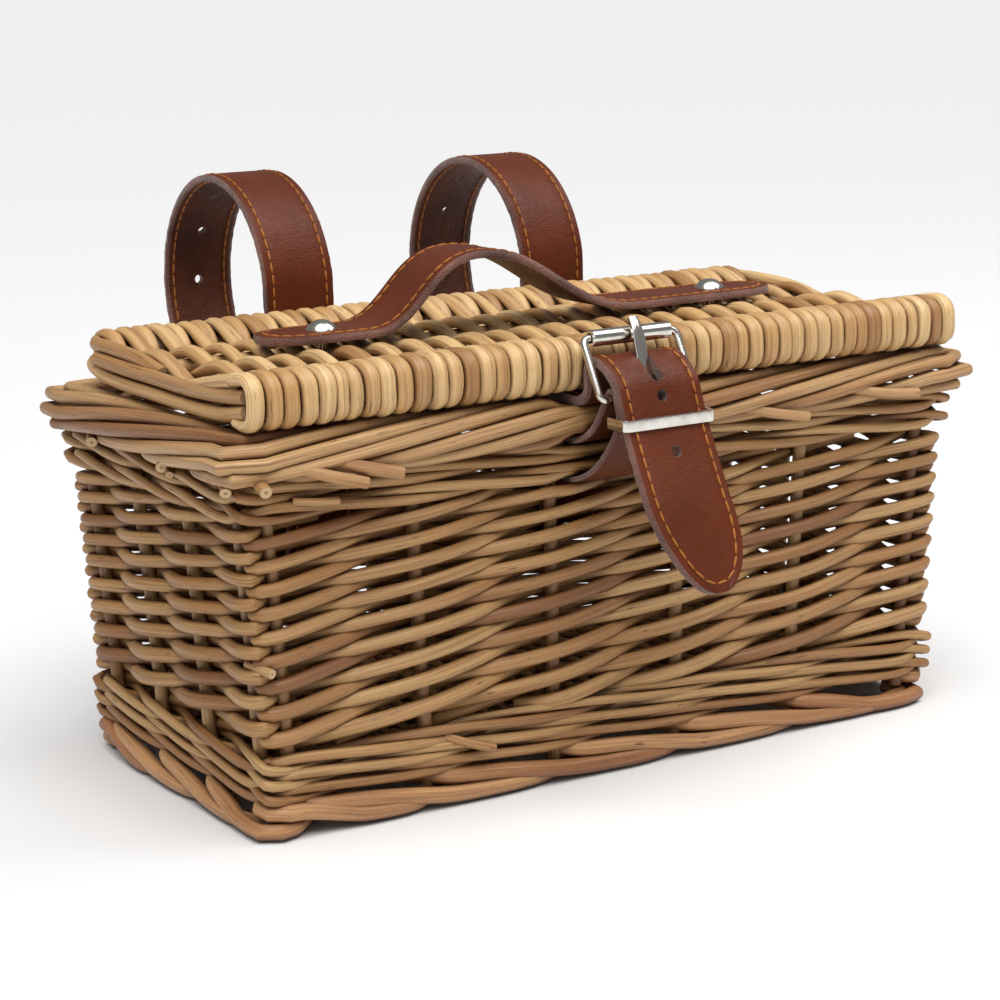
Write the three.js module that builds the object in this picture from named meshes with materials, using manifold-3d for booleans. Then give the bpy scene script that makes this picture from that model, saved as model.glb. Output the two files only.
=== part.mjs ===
// Handlebar bicycle basket: a woven willow body with a hinged willow lid, a riveted leather handle,
// a leather closing strap with a roller buckle, and two leather belts that hang it on a handlebar.
// Millimetres, +Z up, length along X, the closing strap at the front on the -Y side.
import * as THREE from 'three';
import { mergeVertices } from 'three/addons/utils/BufferGeometryUtils.js';
import Module from 'manifold-3d';

const wasm = await Module();
wasm.setup();

// Clearances
const seatGap = 0.3;
const slotGap = 0.4;
const runGap = 0.35;

// Woven body
const wallLengthTop = 256;
const wallWidthTop = 122;
const wallLengthFoot = 244;
const wallWidthFoot = 118;
const wallThickness = 11;
const innerCornerRadius = 1.5;
const panelCornerCut = 7;
const footHeight = 12;
const footOverhang = 3;
const footBandWidth = 16;
const lowerWaleHeight = 11;
const lowerWaleOverhang = 2.5;
const waleEdge = 2.5;
const weaveHeight = 67;
const weaveRows = 21;
const upperWaleHeight = 12;
const upperWaleOverhang = 1;
const borderHeight = 13.7;
const borderOverhang = 5;
const borderRodRadius = 2.1;
const baseThickness = 6;
const stakeRadius = 2.1;
const stakeCornerInset = 11;
const longSideCount = 6;
const shortSideCount = 4;

// Lid
const lidSetback = 5;
const lidLength = wallLengthTop - lidSetback;
const lidWidth = wallWidthTop - lidSetback;
const lidThickness = 16.4;
const lidForward = 7;
const lidRods = 47;
const lidEndWidth = 6;
const lidEndHeight = 12;
const railRadius = 3;
const innerStickRadius = 2.4;
const hingeRingRadius = 10;
const hingeWireRadius = 1.6;
const hingeInset = 24;
const hingeSlotDepth = 9.5;
const hingeBiteBack = 4;
const hingeBiteDown = 3;

// Handle on the lid
const handleLength = 184;
const handleWidth = 24;
const handleThickness = 2.6;
const handleBow = 20.5;
const handlePeak = -22;
const handleFlatLeft = 32;
const handleFlatRight = 56;
const handlePoint = 16;
const handleTipWidth = 3;
const rivetInset = 21;
const rivetShankRadius = 1.6;
const rivetDomeRadius = 5.2;
const rivetDomeHeight = 2.6;
const washerRadius = 5;
const washerThickness = 1;
const rivetFlareRadius = 2.6;
const rivetFlareHeight = 0.8;

// Roller buckles
const wireRadius = 1.2;
const frameLength = 19;
const frameLean = 29;
const frameCorner = 2.2;
const frameSideGap = 0.6;
const rollerWall = 0.9;
const prongWidth = 3;
const prongThickness = 2.2;
const prongEyeWall = 1.1;
const prongOverhang = 4.5;

// Closing strap and the loop that carries its buckle
const closingOffset = -4;
const closingWidth = 29;
const closingThickness = 3;
const closingHang = 47.6;
const closingReach = 20.2;
const closingTaper = 34;
const closingTipWidth = 3;
const buckleStrapWidth = 27;
const buckleStrapThickness = 1.8;
const buckleAhead = 13;
const buckleDrop = 8;
const keeperDrop = 6;
const keeperHeight = 3.4;
const keeperWall = 1.2;
const keeperGap = 0.9;
const pinRadius = 1.2;
const pinHeadRadius = 3;
const pinHeadHeight = 1;
const pinDepth = 7;
const pinClearance = 2.5;

// Handlebar belts
const barOffset = 2;
const barMiddle = 4;
const barWidth = 25;
const barThickness = 2.4;
const barLoopRadius = 37.5;
const barLoopLead = 5;
const barLoopLift = 17.5;
const barTurnRadius = 15;
const barWallGap = 1.2;
const barRollerGap = 1;
const barTailHang = 34;
const barChapeDrop = 13;
const barShortPly = 8;

// Colours
const willow = { color: 0xb98a52, roughness: 0.62, metalness: 0 };
const paleWillow = { color: 0xc79d66, roughness: 0.6, metalness: 0 };
const leather = { color: 0x73372a, roughness: 0.48, metalness: 0 };
const nickel = { color: 0xd9d7d0, roughness: 0.16, metalness: 1 };

const xAxis = new THREE.Vector3(1, 0, 0);
const yAxis = new THREE.Vector3(0, 1, 0);
const zAxis = new THREE.Vector3(0, 0, 1);

const basket = new THREE.Group();

function add(name, geometry, look) {
  geometry.computeVertexNormals();
  const mesh = new THREE.Mesh(geometry, new THREE.MeshStandardMaterial(look));
  mesh.name = name;
  basket.add(mesh);
  return mesh;
}

// Solids for cutting and joining
function toSolid(geometry) {
  const bare = new THREE.BufferGeometry();
  bare.setAttribute('position', geometry.getAttribute('position').clone());
  if (geometry.index) bare.setIndex(geometry.index.clone());
  const merged = mergeVertices(bare, 1e-4);
  return new wasm.Manifold(new wasm.Mesh({
    numProp: 3,
    vertProperties: new Float32Array(merged.getAttribute('position').array),
    triVerts: new Uint32Array(merged.index.array),
  }));
}

function toGeometry(solid) {
  const mesh = solid.getMesh();
  const geometry = new THREE.BufferGeometry();
  geometry.setAttribute('position', new THREE.BufferAttribute(new Float32Array(mesh.vertProperties), 3));
  geometry.setIndex(new THREE.BufferAttribute(new Uint32Array(mesh.triVerts), 1));
  return geometry;
}

function cut(geometry, cutters) {
  const solid = cutters.reduce((left, cutter) => left.subtract(toSolid(cutter)), toSolid(geometry));
  return toGeometry(solid);
}

function join(geometries) {
  const solids = geometries.map((geometry) => toSolid(geometry));
  return toGeometry(solids.reduce((whole, solid) => whole.add(solid)));
}

// Moves the two flat ends of a piece that lies across 0 to low and high, so that neighbours share a face.
function setEnds(geometry, component, low, high) {
  const position = geometry.getAttribute('position');
  for (let i = 0; i < position.count; i += 1) {
    position.setComponent(i, component, position.getComponent(i, component) < 0 ? low : high);
  }
  return geometry;
}

// Sweeps a section, convex unless the path is closed, along a planar path; across is square to its plane.
// A section point is [distance along across, distance along the path's normal].
function sweep(path, across, sectionAt, closed = false) {
  const count = path.length;
  const positions = [];
  const index = [];
  const sides = sectionAt(0).length;
  path.forEach((point, i) => {
    const before = closed ? path[(i + count - 1) % count] : path[Math.max(i - 1, 0)];
    const after = closed ? path[(i + 1) % count] : path[Math.min(i + 1, count - 1)];
    const arriving = point.clone().sub(before);
    const leaving = after.clone().sub(point);
    if (arriving.lengthSq() === 0) arriving.copy(leaving);
    if (leaving.lengthSq() === 0) leaving.copy(arriving);
    arriving.normalize();
    leaving.normalize();
    const tangent = arriving.clone().add(leaving).normalize();
    const normal = across.clone().cross(tangent);
    const mitre = 1 / tangent.dot(leaving);
    for (const [u, v] of sectionAt(i)) {
      const corner = point.clone().addScaledVector(across, u).addScaledVector(normal, v * mitre);
      positions.push(corner.x, corner.y, corner.z);
    }
  });
  const steps = closed ? count : count - 1;
  for (let i = 0; i < steps; i += 1) {
    const here = i * sides;
    const there = ((i + 1) % count) * sides;
    for (let j = 0; j < sides; j += 1) {
      const k = (j + 1) % sides;
      index.push(here + j, there + j, there + k, here + j, there + k, here + k);
    }
  }
  if (!closed) {
    const last = (count - 1) * sides;
    for (let j = 1; j < sides - 1; j += 1) {
      index.push(0, j, j + 1);
      index.push(last, last + j + 1, last + j);
    }
  }
  const geometry = new THREE.BufferGeometry();
  geometry.setAttribute('position', new THREE.BufferAttribute(new Float32Array(positions), 3));
  geometry.setIndex(index);
  return geometry;
}

function circleSection(radius, sides) {
  return Array.from({ length: sides }, (_, i) => {
    const angle = (2 * Math.PI * i) / sides;
    return [radius * Math.cos(angle), radius * Math.sin(angle)];
  });
}

function flatSection(width, thickness) {
  const u = width / 2;
  const v = thickness / 2;
  return [[-u, -v], [u, -v], [u, v], [-u, v]];
}

// A band's section: height from 0 upwards, outer edges cut off.
function bandSection(height, width, edge) {
  const v = width / 2;
  return [[0, -v + edge], [edge, -v], [height - edge, -v], [height, -v + edge], [height, v], [0, v]];
}

// The outline of rods laid side by side, seen from their ends, from the first one's foot inwards.
// A middle is [height from 0 upwards, depth from the outer face]; angles turn outwards from upright.
function rodsOutline(middles, radius, width) {
  const bearing = ([up, depth], [otherUp, otherDepth]) => Math.atan2(depth - otherDepth, otherUp - up);
  const notch = ([up, depth], [otherUp, otherDepth]) => (
    Math.acos(Math.min(Math.hypot(otherUp - up, otherDepth - depth) / (2 * radius), 1))
  );
  return middles.flatMap((middle, i) => {
    const before = middles[i - 1];
    const after = middles[i + 1];
    let from = before ? bearing(middle, before) - notch(middle, before) : Math.PI;
    const to = after ? bearing(middle, after) + notch(middle, after) : -Math.PI / 2;
    if (from < to) from += 2 * Math.PI;
    return Array.from({ length: 4 }, (_, j) => {
      const angle = THREE.MathUtils.lerp(from, to, j / 3);
      return [middle[0] + radius * Math.cos(angle), middle[1] - radius * Math.sin(angle) - width / 2];
    });
  });
}

// The foot's section: one rod lies on another at the outer face.
function footSection(height, width) {
  const radius = height / 4;
  const outline = rodsOutline([[radius, radius], [height - radius, radius]], radius, width);
  return [...outline.slice(0, -1), [height, width / 2], [0, width / 2]];
}

// The border's section: six rods lie round its outer side and top, placed by shares of the free room.
function borderSection(height, width, radius) {
  const shares = [[0, 0.09], [0.35, 0], [0.73, 0.07], [1, 0.35], [1, 0.7], [0.8, 1]];
  const middles = shares.map(([up, depth]) => [
    radius + up * (height - 2 * radius), radius + depth * (width - 2 * radius),
  ]);
  return [...rodsOutline(middles, radius, width), [0, width / 2]];
}

function rod(from, to, radius, sides) {
  const along = to.clone().sub(from).normalize();
  const across = (Math.abs(along.z) > 0.7 ? xAxis : zAxis).clone();
  across.addScaledVector(along, -across.dot(along)).normalize();
  return sweep([from, to], across, () => circleSection(radius, sides));
}

function boxBetween(low, high) {
  const size = high.clone().sub(low);
  const geometry = new THREE.BoxGeometry(size.x, size.y, size.z);
  return geometry.translate((low.x + high.x) / 2, (low.y + high.y) / 2, (low.z + high.z) / 2);
}

// Joins two convex outlines of as many points, listed anticlockwise from above.
function loft(lower, upper) {
  const count = lower.length;
  const index = [];
  for (let i = 0; i < count; i += 1) {
    const k = (i + 1) % count;
    index.push(i, k, count + k, i, count + k, count + i);
  }
  for (let i = 1; i < count - 1; i += 1) {
    index.push(0, i + 1, i);
    index.push(count, count + i, count + i + 1);
  }
  const geometry = new THREE.BufferGeometry();
  geometry.setFromPoints([...lower, ...upper]);
  geometry.setIndex(index);
  return geometry;
}

// Extrudes an outline drawn in Y and Z by a width along X, centred on x = 0.
function sideExtrude(shape, width, curveSegments) {
  const geometry = new THREE.ExtrudeGeometry(shape, { depth: width, bevelEnabled: false, curveSegments });
  geometry.applyMatrix4(new THREE.Matrix4().makeBasis(yAxis, zAxis, xAxis));
  return geometry.translate(-width / 2, 0, 0);
}

// A rounded rectangle about the origin, anticlockwise.
function roundedRectangle(halfU, halfV, radius, cornerSteps) {
  const corners = [[1, 1, 0], [-1, 1, 1], [-1, -1, 2], [1, -1, 3]];
  return corners.flatMap(([signU, signV, quarter]) => (
    Array.from({ length: cornerSteps + 1 }, (_, i) => {
      const angle = (quarter + i / cornerSteps) * (Math.PI / 2);
      return [
        signU * (halfU - radius) + radius * Math.cos(angle),
        signV * (halfV - radius) + radius * Math.sin(angle),
      ];
    })
  ));
}

// Levels, from the floor up
const lowerWaleLow = footHeight + seatGap;
const weaveLow = lowerWaleLow + lowerWaleHeight + seatGap;
const weaveTop = weaveLow + weaveHeight;
const upperWaleLow = weaveTop + seatGap;
const upperWaleTop = upperWaleLow + upperWaleHeight;
const borderLow = upperWaleTop + seatGap;
const borderTop = borderLow + borderHeight;
const lidLow = borderTop + seatGap;
const lidTop = lidLow + lidThickness;
const railHeight = lidLow + lidThickness / 2;

// Outer half sizes of the leaning walls at a height
function wallHalf(z) {
  const share = (z - footHeight) / (borderLow - footHeight);
  return {
    x: THREE.MathUtils.lerp(wallLengthFoot, wallLengthTop, share) / 2,
    y: THREE.MathUtils.lerp(wallWidthFoot, wallWidthTop, share) / 2,
  };
}

function band(low, height, overhang, width, section) {
  const half = wallHalf(low + height / 2);
  const middle = overhang - width / 2;
  const outline = roundedRectangle(
    half.x + middle, half.y + middle, innerCornerRadius + width / 2, 3,
  );
  const path = outline.map(([x, y]) => new THREE.Vector3(x, y, low));
  return sweep(path, zAxis, () => section, true);
}

function wale(low, height, overhang) {
  const width = wallThickness + overhang;
  return band(low, height, overhang, width, bandSection(height, width, waleEdge));
}

// Upright stakes, leaning with the walls
function spread(index, count, half) {
  return -half + (2 * half * index) / (count - 1);
}

function stakeAt(side, index, z) {
  const half = wallHalf(z);
  const middle = wallThickness / 2;
  if (side === 'front' || side === 'back') {
    const x = spread(index, longSideCount, half.x - stakeCornerInset);
    return new THREE.Vector3(x, (half.y - middle) * (side === 'front' ? -1 : 1), z);
  }
  const y = spread(index, shortSideCount, half.y - stakeCornerInset);
  return new THREE.Vector3((half.x - middle) * (side === 'left' ? -1 : 1), y, z);
}

const stakeLow = footHeight + seatGap;
const stakeTop = borderLow - seatGap;
const stakeChannels = [];
for (const side of ['front', 'back', 'left', 'right']) {
  const count = side === 'front' || side === 'back' ? longSideCount : shortSideCount;
  for (let i = 0; i < count; i += 1) {
    const stake = rod(stakeAt(side, i, stakeLow), stakeAt(side, i, stakeTop), stakeRadius, 6);
    add(`stake_${side}_${i + 1}`, stake, willow);
    const channelLow = stakeAt(side, i, stakeLow - footHeight / 2);
    const channelTop = stakeAt(side, i, stakeTop + borderHeight / 2);
    stakeChannels.push(rod(channelLow, channelTop, stakeRadius + slotGap, 6));
  }
}

// Lid lines that the straps and hinges follow
const lidFront = -lidWidth / 2 - lidForward;
const lidBack = lidWidth / 2 - lidForward;
const frontRailY = lidFront + lidThickness / 2;
const backRailY = lidBack - lidThickness / 2;
const stickStep = (backRailY - frontRailY) / 3;
const frontStickY = frontRailY + stickStep;
const backStickY = frontRailY + 2 * stickStep;
const hingeX = lidLength / 2 - hingeInset;

// Buckle lines: the heel bar carries the strap and the prong, the roller bar leans back from it.
const heelFold = wireRadius + runGap;
const rollerInner = wireRadius + runGap;
const rollerRadius = rollerInner + rollerWall;
const leanAngle = THREE.MathUtils.degToRad(frameLean);

// facing is -1 where the buckle faces the front and 1 where it faces the back
function buckleLines(heelY, heelZ, facing) {
  const heel = new THREE.Vector2(heelY, heelZ);
  const rise = new THREE.Vector2(-facing * Math.sin(leanAngle), Math.cos(leanAngle));
  const out = new THREE.Vector2(facing * Math.cos(leanAngle), Math.sin(leanAngle));
  const roller = heel.clone().addScaledVector(rise, frameLength);
  return { heel, rise, out, roller, facing };
}

// A smooth line through points given in Y and Z, with a number of steps between each two
function curveThrough(points, steps) {
  const curve = new THREE.CatmullRomCurve3(points.map(([y, z]) => new THREE.Vector3(0, y, z)));
  return curve.getPoints(steps * (points.length - 1));
}

function arcPoints(centre, radius, fromDegrees, toDegrees, count) {
  return Array.from({ length: count }, (_, i) => {
    const angle = THREE.MathUtils.degToRad(THREE.MathUtils.lerp(fromDegrees, toDegrees, i / (count - 1)));
    return [centre.x + radius * Math.cos(angle), centre.y + radius * Math.sin(angle)];
  });
}

function strap(path, width, thickness, closed = false) {
  return sweep(path, xAxis, () => flatSection(width, thickness), closed);
}

// A slot for the prong through the strap layers that lie round the heel bar
function prongSlot(lines, from, to, depth) {
  const length = to - from;
  const slot = new THREE.BoxGeometry(prongWidth + 2 * slotGap, depth, length);
  slot.translate(0, 0, (from + to) / 2);
  slot.applyMatrix4(new THREE.Matrix4().makeRotationX(lines.facing * leanAngle));
  return slot.translate(0, lines.heel.x, lines.heel.y);
}

function addBuckle(prefix, lines, centreX, strapWidth) {
  const halfWidth = strapWidth / 2 + frameSideGap + wireRadius;
  const place = (u, v) => new THREE.Vector3(
    centreX + u,
    lines.heel.x + lines.rise.x * v,
    lines.heel.y + lines.rise.y * v,
  );
  const outline = roundedRectangle(halfWidth, frameLength / 2, frameCorner, 3);
  const path = outline.map(([u, v]) => place(u, v + frameLength / 2));
  const square = path[1].clone().sub(path[0]).cross(path[2].clone().sub(path[1])).normalize();
  add(`${prefix}_frame`, sweep(path, square, () => circleSection(wireRadius, 8), true), nickel);

  const rollerHalf = halfWidth - frameCorner - runGap;
  const tube = [
    [rollerInner, -rollerHalf], [rollerRadius, -rollerHalf],
    [rollerRadius, rollerHalf], [rollerInner, rollerHalf], [rollerInner, -rollerHalf],
  ];
  const roller = new THREE.LatheGeometry(tube.map(([r, h]) => new THREE.Vector2(r, h)), 14);
  roller.rotateZ(-Math.PI / 2);
  add(`${prefix}_roller`, roller, nickel).position.set(centreX, lines.roller.x, lines.roller.y);

  const restHeight = rollerRadius + runGap + prongThickness / 2;
  const eyeInner = wireRadius + runGap;
  const eyeOuter = eyeInner + prongEyeWall;
  const barLength = Math.hypot(frameLength, restHeight) + prongOverhang;
  const half = prongThickness / 2;
  const leave = Math.asin(half / eyeOuter);
  const shape = new THREE.Shape();
  shape.absarc(0, 0, eyeOuter, leave, 2 * Math.PI - leave, false);
  shape.lineTo(barLength - half, -half);
  shape.absarc(barLength - half, 0, half, -Math.PI / 2, Math.PI / 2, false);
  shape.closePath();
  const eye = new THREE.Path();
  eye.absarc(0, 0, eyeInner, 0, 2 * Math.PI, true);
  shape.holes.push(eye);
  const tip = lines.roller.clone().addScaledVector(lines.out, restHeight).sub(lines.heel);
  const prong = add(`${prefix}_prong`, sideExtrude(shape, prongWidth, 8), nickel);
  prong.rotation.x = Math.atan2(tip.y, tip.x);
  prong.position.set(centreX, lines.heel.x, lines.heel.y);
}

// Closing strap: under the lid, up past its front edge, through the buckle and down in front
const closingX = closingOffset;
const closingLines = buckleLines(lidFront - buckleAhead, railHeight - buckleDrop, -1);
const closingRearY = lidFront - slotGap - closingThickness / 2;
const closingUnder = lidLow - seatGap - closingThickness / 2;
const closingOverHeel = heelFold + buckleStrapThickness + slotGap + closingThickness / 2;
const keeperY = closingLines.heel.x - closingOverHeel - 0.45 * keeperDrop;
const keeperZ = closingLines.heel.y - keeperDrop;
const windowMiddle = closingLines.heel.clone().lerp(closingLines.roller, 0.5);
const borderInner = wallHalf(borderLow + borderHeight / 2).y - wallThickness;
const pinY = -borderInner + pinClearance + pinHeadRadius;
const closingEnd = [keeperY - closingReach, keeperZ - closingHang];
const closingPoints = [
  [pinY + pinHeadRadius, closingUnder],
  [(pinY + lidFront) / 2, closingUnder],
  [lidFront + closingThickness / 2, closingUnder],
  [closingRearY, closingUnder + closingThickness],
  [closingRearY, railHeight - closingThickness / 2],
  [closingRearY - closingThickness / 2, windowMiddle.y + closingThickness / 2],
  [windowMiddle.x - closingThickness / 4, windowMiddle.y + closingThickness / 2],
  [closingLines.heel.x - 0.7 * closingOverHeel, closingLines.heel.y + 0.85 * closingOverHeel],
  [closingLines.heel.x - 1.08 * closingOverHeel, closingLines.heel.y],
  [keeperY, keeperZ],
  [keeperY - 0.2 * closingReach, keeperZ - 0.18 * closingHang],
  [keeperY - 0.65 * closingReach, keeperZ - 0.56 * closingHang],
  closingEnd,
];
const closingPath = curveThrough(closingPoints, 4);
const closingTip = closingPath[closingPath.length - 1];

function closingSection(width, thickness, i) {
  const left = 1 - Math.min(closingPath[i].distanceTo(closingTip) / closingTaper, 1);
  const share = Math.sqrt(1 - left * left);
  return flatSection(THREE.MathUtils.lerp(closingTipWidth, width, share), thickness);
}

const closingCutter = sweep(
  closingPath, xAxis,
  (i) => closingSection(closingWidth + 2 * slotGap, closingThickness + 2 * slotGap, i),
).translate(closingX, 0, 0);

// Loop of the buckle strap: round the heel bar and round the upper wale through the wall
const wallFront = -wallHalf(upperWaleLow).y;
const loopInsideY = wallFront + wallThickness + slotGap + buckleStrapThickness / 2;
const loopHigh = upperWaleTop + seatGap / 2 - slotGap;
const loopLow = upperWaleLow - seatGap / 2 + slotGap;
const loopFold = heelFold + buckleStrapThickness / 2;
const borderFront = -(wallHalf(borderLow).y + borderOverhang);
const plyFrontY = keeperY + closingThickness / 2 + keeperGap + buckleStrapThickness;
const bucklePoints = [
  [loopInsideY, loopLow + 0.3 * upperWaleHeight],
  [loopInsideY, loopHigh - 0.3 * upperWaleHeight],
  [loopInsideY - 2 * buckleStrapThickness, loopHigh],
  [wallFront + buckleStrapThickness, loopHigh],
  [borderFront - slotGap - buckleStrapThickness, loopHigh + 2.5 * buckleStrapThickness],
  ...arcPoints(closingLines.heel, loopFold, 20, 175, 5),
  [plyFrontY, keeperZ],
  [THREE.MathUtils.lerp(plyFrontY, wallFront, 0.52), THREE.MathUtils.lerp(keeperZ, loopLow, 0.72)],
  [wallFront + buckleStrapThickness, loopLow],
  [loopInsideY - 2 * buckleStrapThickness, loopLow],
].map(([y, z]) => new THREE.Vector3(closingX, y, z));
const buckleCurve = new THREE.CatmullRomCurve3(bucklePoints, true);
const bucklePath = buckleCurve.getPoints(4 * bucklePoints.length).slice(0, -1);
const buckleStrapCutter = strap(
  bucklePath, buckleStrapWidth + 2 * slotGap, buckleStrapThickness + 2 * slotGap, true,
);

// Handlebar belts: over the border, round the bar, down into the buckle, and back through the wall
const backStakeStep = (2 * (wallHalf(weaveTop).x - stakeCornerInset)) / (longSideCount - 1);
const barSpread = backStakeStep + barOffset;
const barSpots = { left: barMiddle - barSpread, right: barMiddle + barSpread };
const barUnderLid = borderTop - seatGap - barThickness / 2;
const barInsideY = wallHalf(weaveTop).y - wallThickness - slotGap - barThickness / 2;
const loopCentre = new THREE.Vector2(lidBack + barLoopLead + barLoopRadius, borderTop + barLoopLift);
const loopFloor = loopCentre.y - barLoopRadius;
const barRollerZ = loopFloor - barTurnRadius - 2 * rollerRadius;
const barWallY = wallHalf(loopFloor).y + barWallGap + barThickness / 2;
const barRollerY = barWallY + barThickness / 2 + barRollerGap + rollerRadius;
const barHeelY = barRollerY + frameLength * Math.sin(leanAngle);
const barHeelZ = barRollerZ - frameLength * Math.cos(leanAngle);
const barLines = buckleLines(barHeelY, barHeelZ, 1);
const barFold = heelFold + barThickness / 2;
const barOverHeel = heelFold + barThickness + slotGap + barThickness / 2;
const chapeWall = new THREE.Vector2(wallHalf(barHeelZ).y, barHeelZ - barChapeDrop);
const chapeRun = barLines.heel.clone().sub(chapeWall).normalize();
const chapeSide = new THREE.Vector2(-chapeRun.y, chapeRun.x);
const plyFoot = barLines.heel.clone().addScaledVector(chapeRun, -barShortPly);
const shortEnd = plyFoot.clone().addScaledVector(chapeSide, -barFold);
const mainPly = plyFoot.clone().addScaledVector(chapeSide, barFold);
const foldStart = THREE.MathUtils.radToDeg(Math.atan2(-chapeSide.y, -chapeSide.x));
const foldEnd = foldStart + 180;
const chapeSlotZ = chapeWall.y + barFold;
const barWindow = barLines.heel.clone().lerp(barLines.roller, 0.5);
const anchorPoints = [
  [shortEnd.x, shortEnd.y],
  ...arcPoints(barLines.heel, barFold, foldStart, foldEnd, 5),
  [mainPly.x, mainPly.y],
  [chapeWall.x - barThickness, chapeSlotZ],
  [barInsideY + 2 * barThickness, chapeSlotZ],
  [barInsideY, chapeSlotZ + 2 * barThickness],
  [barInsideY, (chapeSlotZ + borderLow) / 2],
  [barInsideY, borderTop - 3 * barThickness],
  [barInsideY + 1.4 * barThickness, barUnderLid],
  [barInsideY + 2.6 * barThickness, barUnderLid],
];
const loopPoints = arcPoints(loopCentre, barLoopRadius, 188, -86, 13);
const tailPoints = [
  [barWallY + 0.35 * barTurnRadius, loopFloor - 0.3 * barTurnRadius],
  [barWallY, barRollerZ + 0.35 * barTurnRadius],
  [barWallY, barRollerZ],
  [barWindow.x - 0.6 * barOverHeel, barWindow.y + 0.1 * barOverHeel],
  [barWindow.x + 0.5 * barOverHeel, barWindow.y - 0.1 * barOverHeel],
  [barLines.heel.x + 0.78 * barOverHeel, barLines.heel.y + 0.74 * barOverHeel],
  [barLines.heel.x + 1.1 * barOverHeel, barLines.heel.y - 0.1 * barOverHeel],
  [barLines.heel.x + barOverHeel, barLines.heel.y - 0.5 * barTailHang],
  [barLines.heel.x + 0.7 * barOverHeel, barLines.heel.y - barTailHang],
];
const barPath = curveThrough([...anchorPoints, ...loopPoints, ...tailPoints], 2);
const loopStart = barPath.findIndex((point) => point.z > borderTop + barThickness);
const anchorPath = barPath.slice(0, loopStart + 1);
const barCutters = Object.values(barSpots).map((x) => (
  strap(anchorPath, barWidth + 2 * slotGap, barThickness + 2 * slotGap).translate(x, 0, 0)
));

// Hinge rings, through the border's inner top rod and round the lid's back rail
const hingeReach = hingeRingRadius - hingeWireRadius - railRadius - slotGap;
const hingeTowards = new THREE.Vector2(
  borderInner + hingeBiteBack - backRailY, borderTop - hingeBiteDown - railHeight,
).normalize();
const hingeCentre = new THREE.Vector2(backRailY, railHeight).addScaledVector(hingeTowards, hingeReach);
function hingeRing(x, wire) {
  const circle = arcPoints(hingeCentre, hingeRingRadius, 0, 342, 20);
  const path = circle.map(([y, z]) => new THREE.Vector3(x, y, z));
  return sweep(path, xAxis, () => circleSection(wire, 8), true);
}
const hingeCutters = [-hingeX, hingeX].map((x) => hingeRing(x, hingeWireRadius + slotGap));

// Foot, base and wales
const footRods = footSection(footHeight, footBandWidth);
add('foot_border', band(0, footHeight, footOverhang, footBandWidth, footRods), willow);
const lowerWale = wale(lowerWaleLow, lowerWaleHeight, lowerWaleOverhang);
add('lower_wale', cut(lowerWale, stakeChannels), willow);
const baseHalf = wallHalf(lowerWaleLow + lowerWaleHeight / 2);
const baseX = baseHalf.x - wallThickness - seatGap;
const baseY = baseHalf.y - wallThickness - seatGap;
const baseOutline = (z) => roundedRectangle(baseX, baseY, innerCornerRadius + seatGap, 2).map(
  ([x, y]) => new THREE.Vector3(x, y, z),
);
add('base_weave', loft(baseOutline(lowerWaleLow), baseOutline(lowerWaleLow + baseThickness)), willow);

// Woven sides: each row of weavers goes in front of one stake and behind the next.
const weaverThickness = wallThickness / 2 - stakeRadius - 2 * slotGap;
const rowEnds = Array.from({ length: weaveRows + 1 }, (_, i) => weaveLow + (weaveHeight * i) / weaveRows);

// How far a side reaches at a depth from its outer face: the corner is cut off outside and mitred inside.
function panelReach(along, depth) {
  const cutCorner = panelCornerCut / 2;
  const gap = seatGap / 2;
  if (depth < cutCorner) return along - panelCornerCut + depth * (1 - gap / cutCorner);
  return along - depth - gap;
}

// One edge of a row from above, bent round the stakes, at a depth into the weaver
function rowEdge(along, across, count, firstOutside, inset) {
  const depthAt = (i) => inset + ((i % 2 === 0) === firstOutside ? 0 : wallThickness - weaverThickness);
  const bends = Array.from({ length: count }, (_, i) => [
    spread(i, count, along - stakeCornerInset), depthAt(i),
  ]).filter(([u, depth]) => Math.abs(u) < panelReach(along, depth));
  return [
    [-panelReach(along, depthAt(0)), depthAt(0)],
    ...bends,
    [panelReach(along, depthAt(count - 1)), depthAt(count - 1)],
  ].map(([u, depth]) => new THREE.Vector2(u, depth - across));
}

function weaveRow(long, count, row, firstStake) {
  const half = wallHalf((rowEnds[row] + rowEnds[row + 1]) / 2);
  const along = long ? half.x : half.y;
  const across = long ? half.y : half.x;
  const firstOutside = (row + firstStake) % 2 === 0;
  const outer = rowEdge(along, across, count, firstOutside, 0);
  const inner = rowEdge(along, across, count, firstOutside, weaverThickness);
  const shape = new THREE.Shape([...outer, ...inner.reverse()]);
  const geometry = new THREE.ExtrudeGeometry(shape, { depth: 2, bevelEnabled: false }).translate(0, 0, -1);
  return setEnds(geometry, 2, rowEnds[row], rowEnds[row + 1]);
}

const panels = [
  ['front', true, 0, [buckleStrapCutter]],
  ['right', false, 1, []],
  ['back', true, 2, barCutters],
  ['left', false, 3, []],
];
let firstStake = 0;
for (const [side, long, quarterTurns, cutters] of panels) {
  const count = long ? longSideCount : shortSideCount;
  const rows = Array.from({ length: weaveRows }, (_, row) => (
    weaveRow(long, count, row, firstStake).rotateZ((quarterTurns * Math.PI) / 2)
  ));
  add(`${side}_weave`, cut(join(rows), cutters), willow);
  firstStake += count;
}

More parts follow.
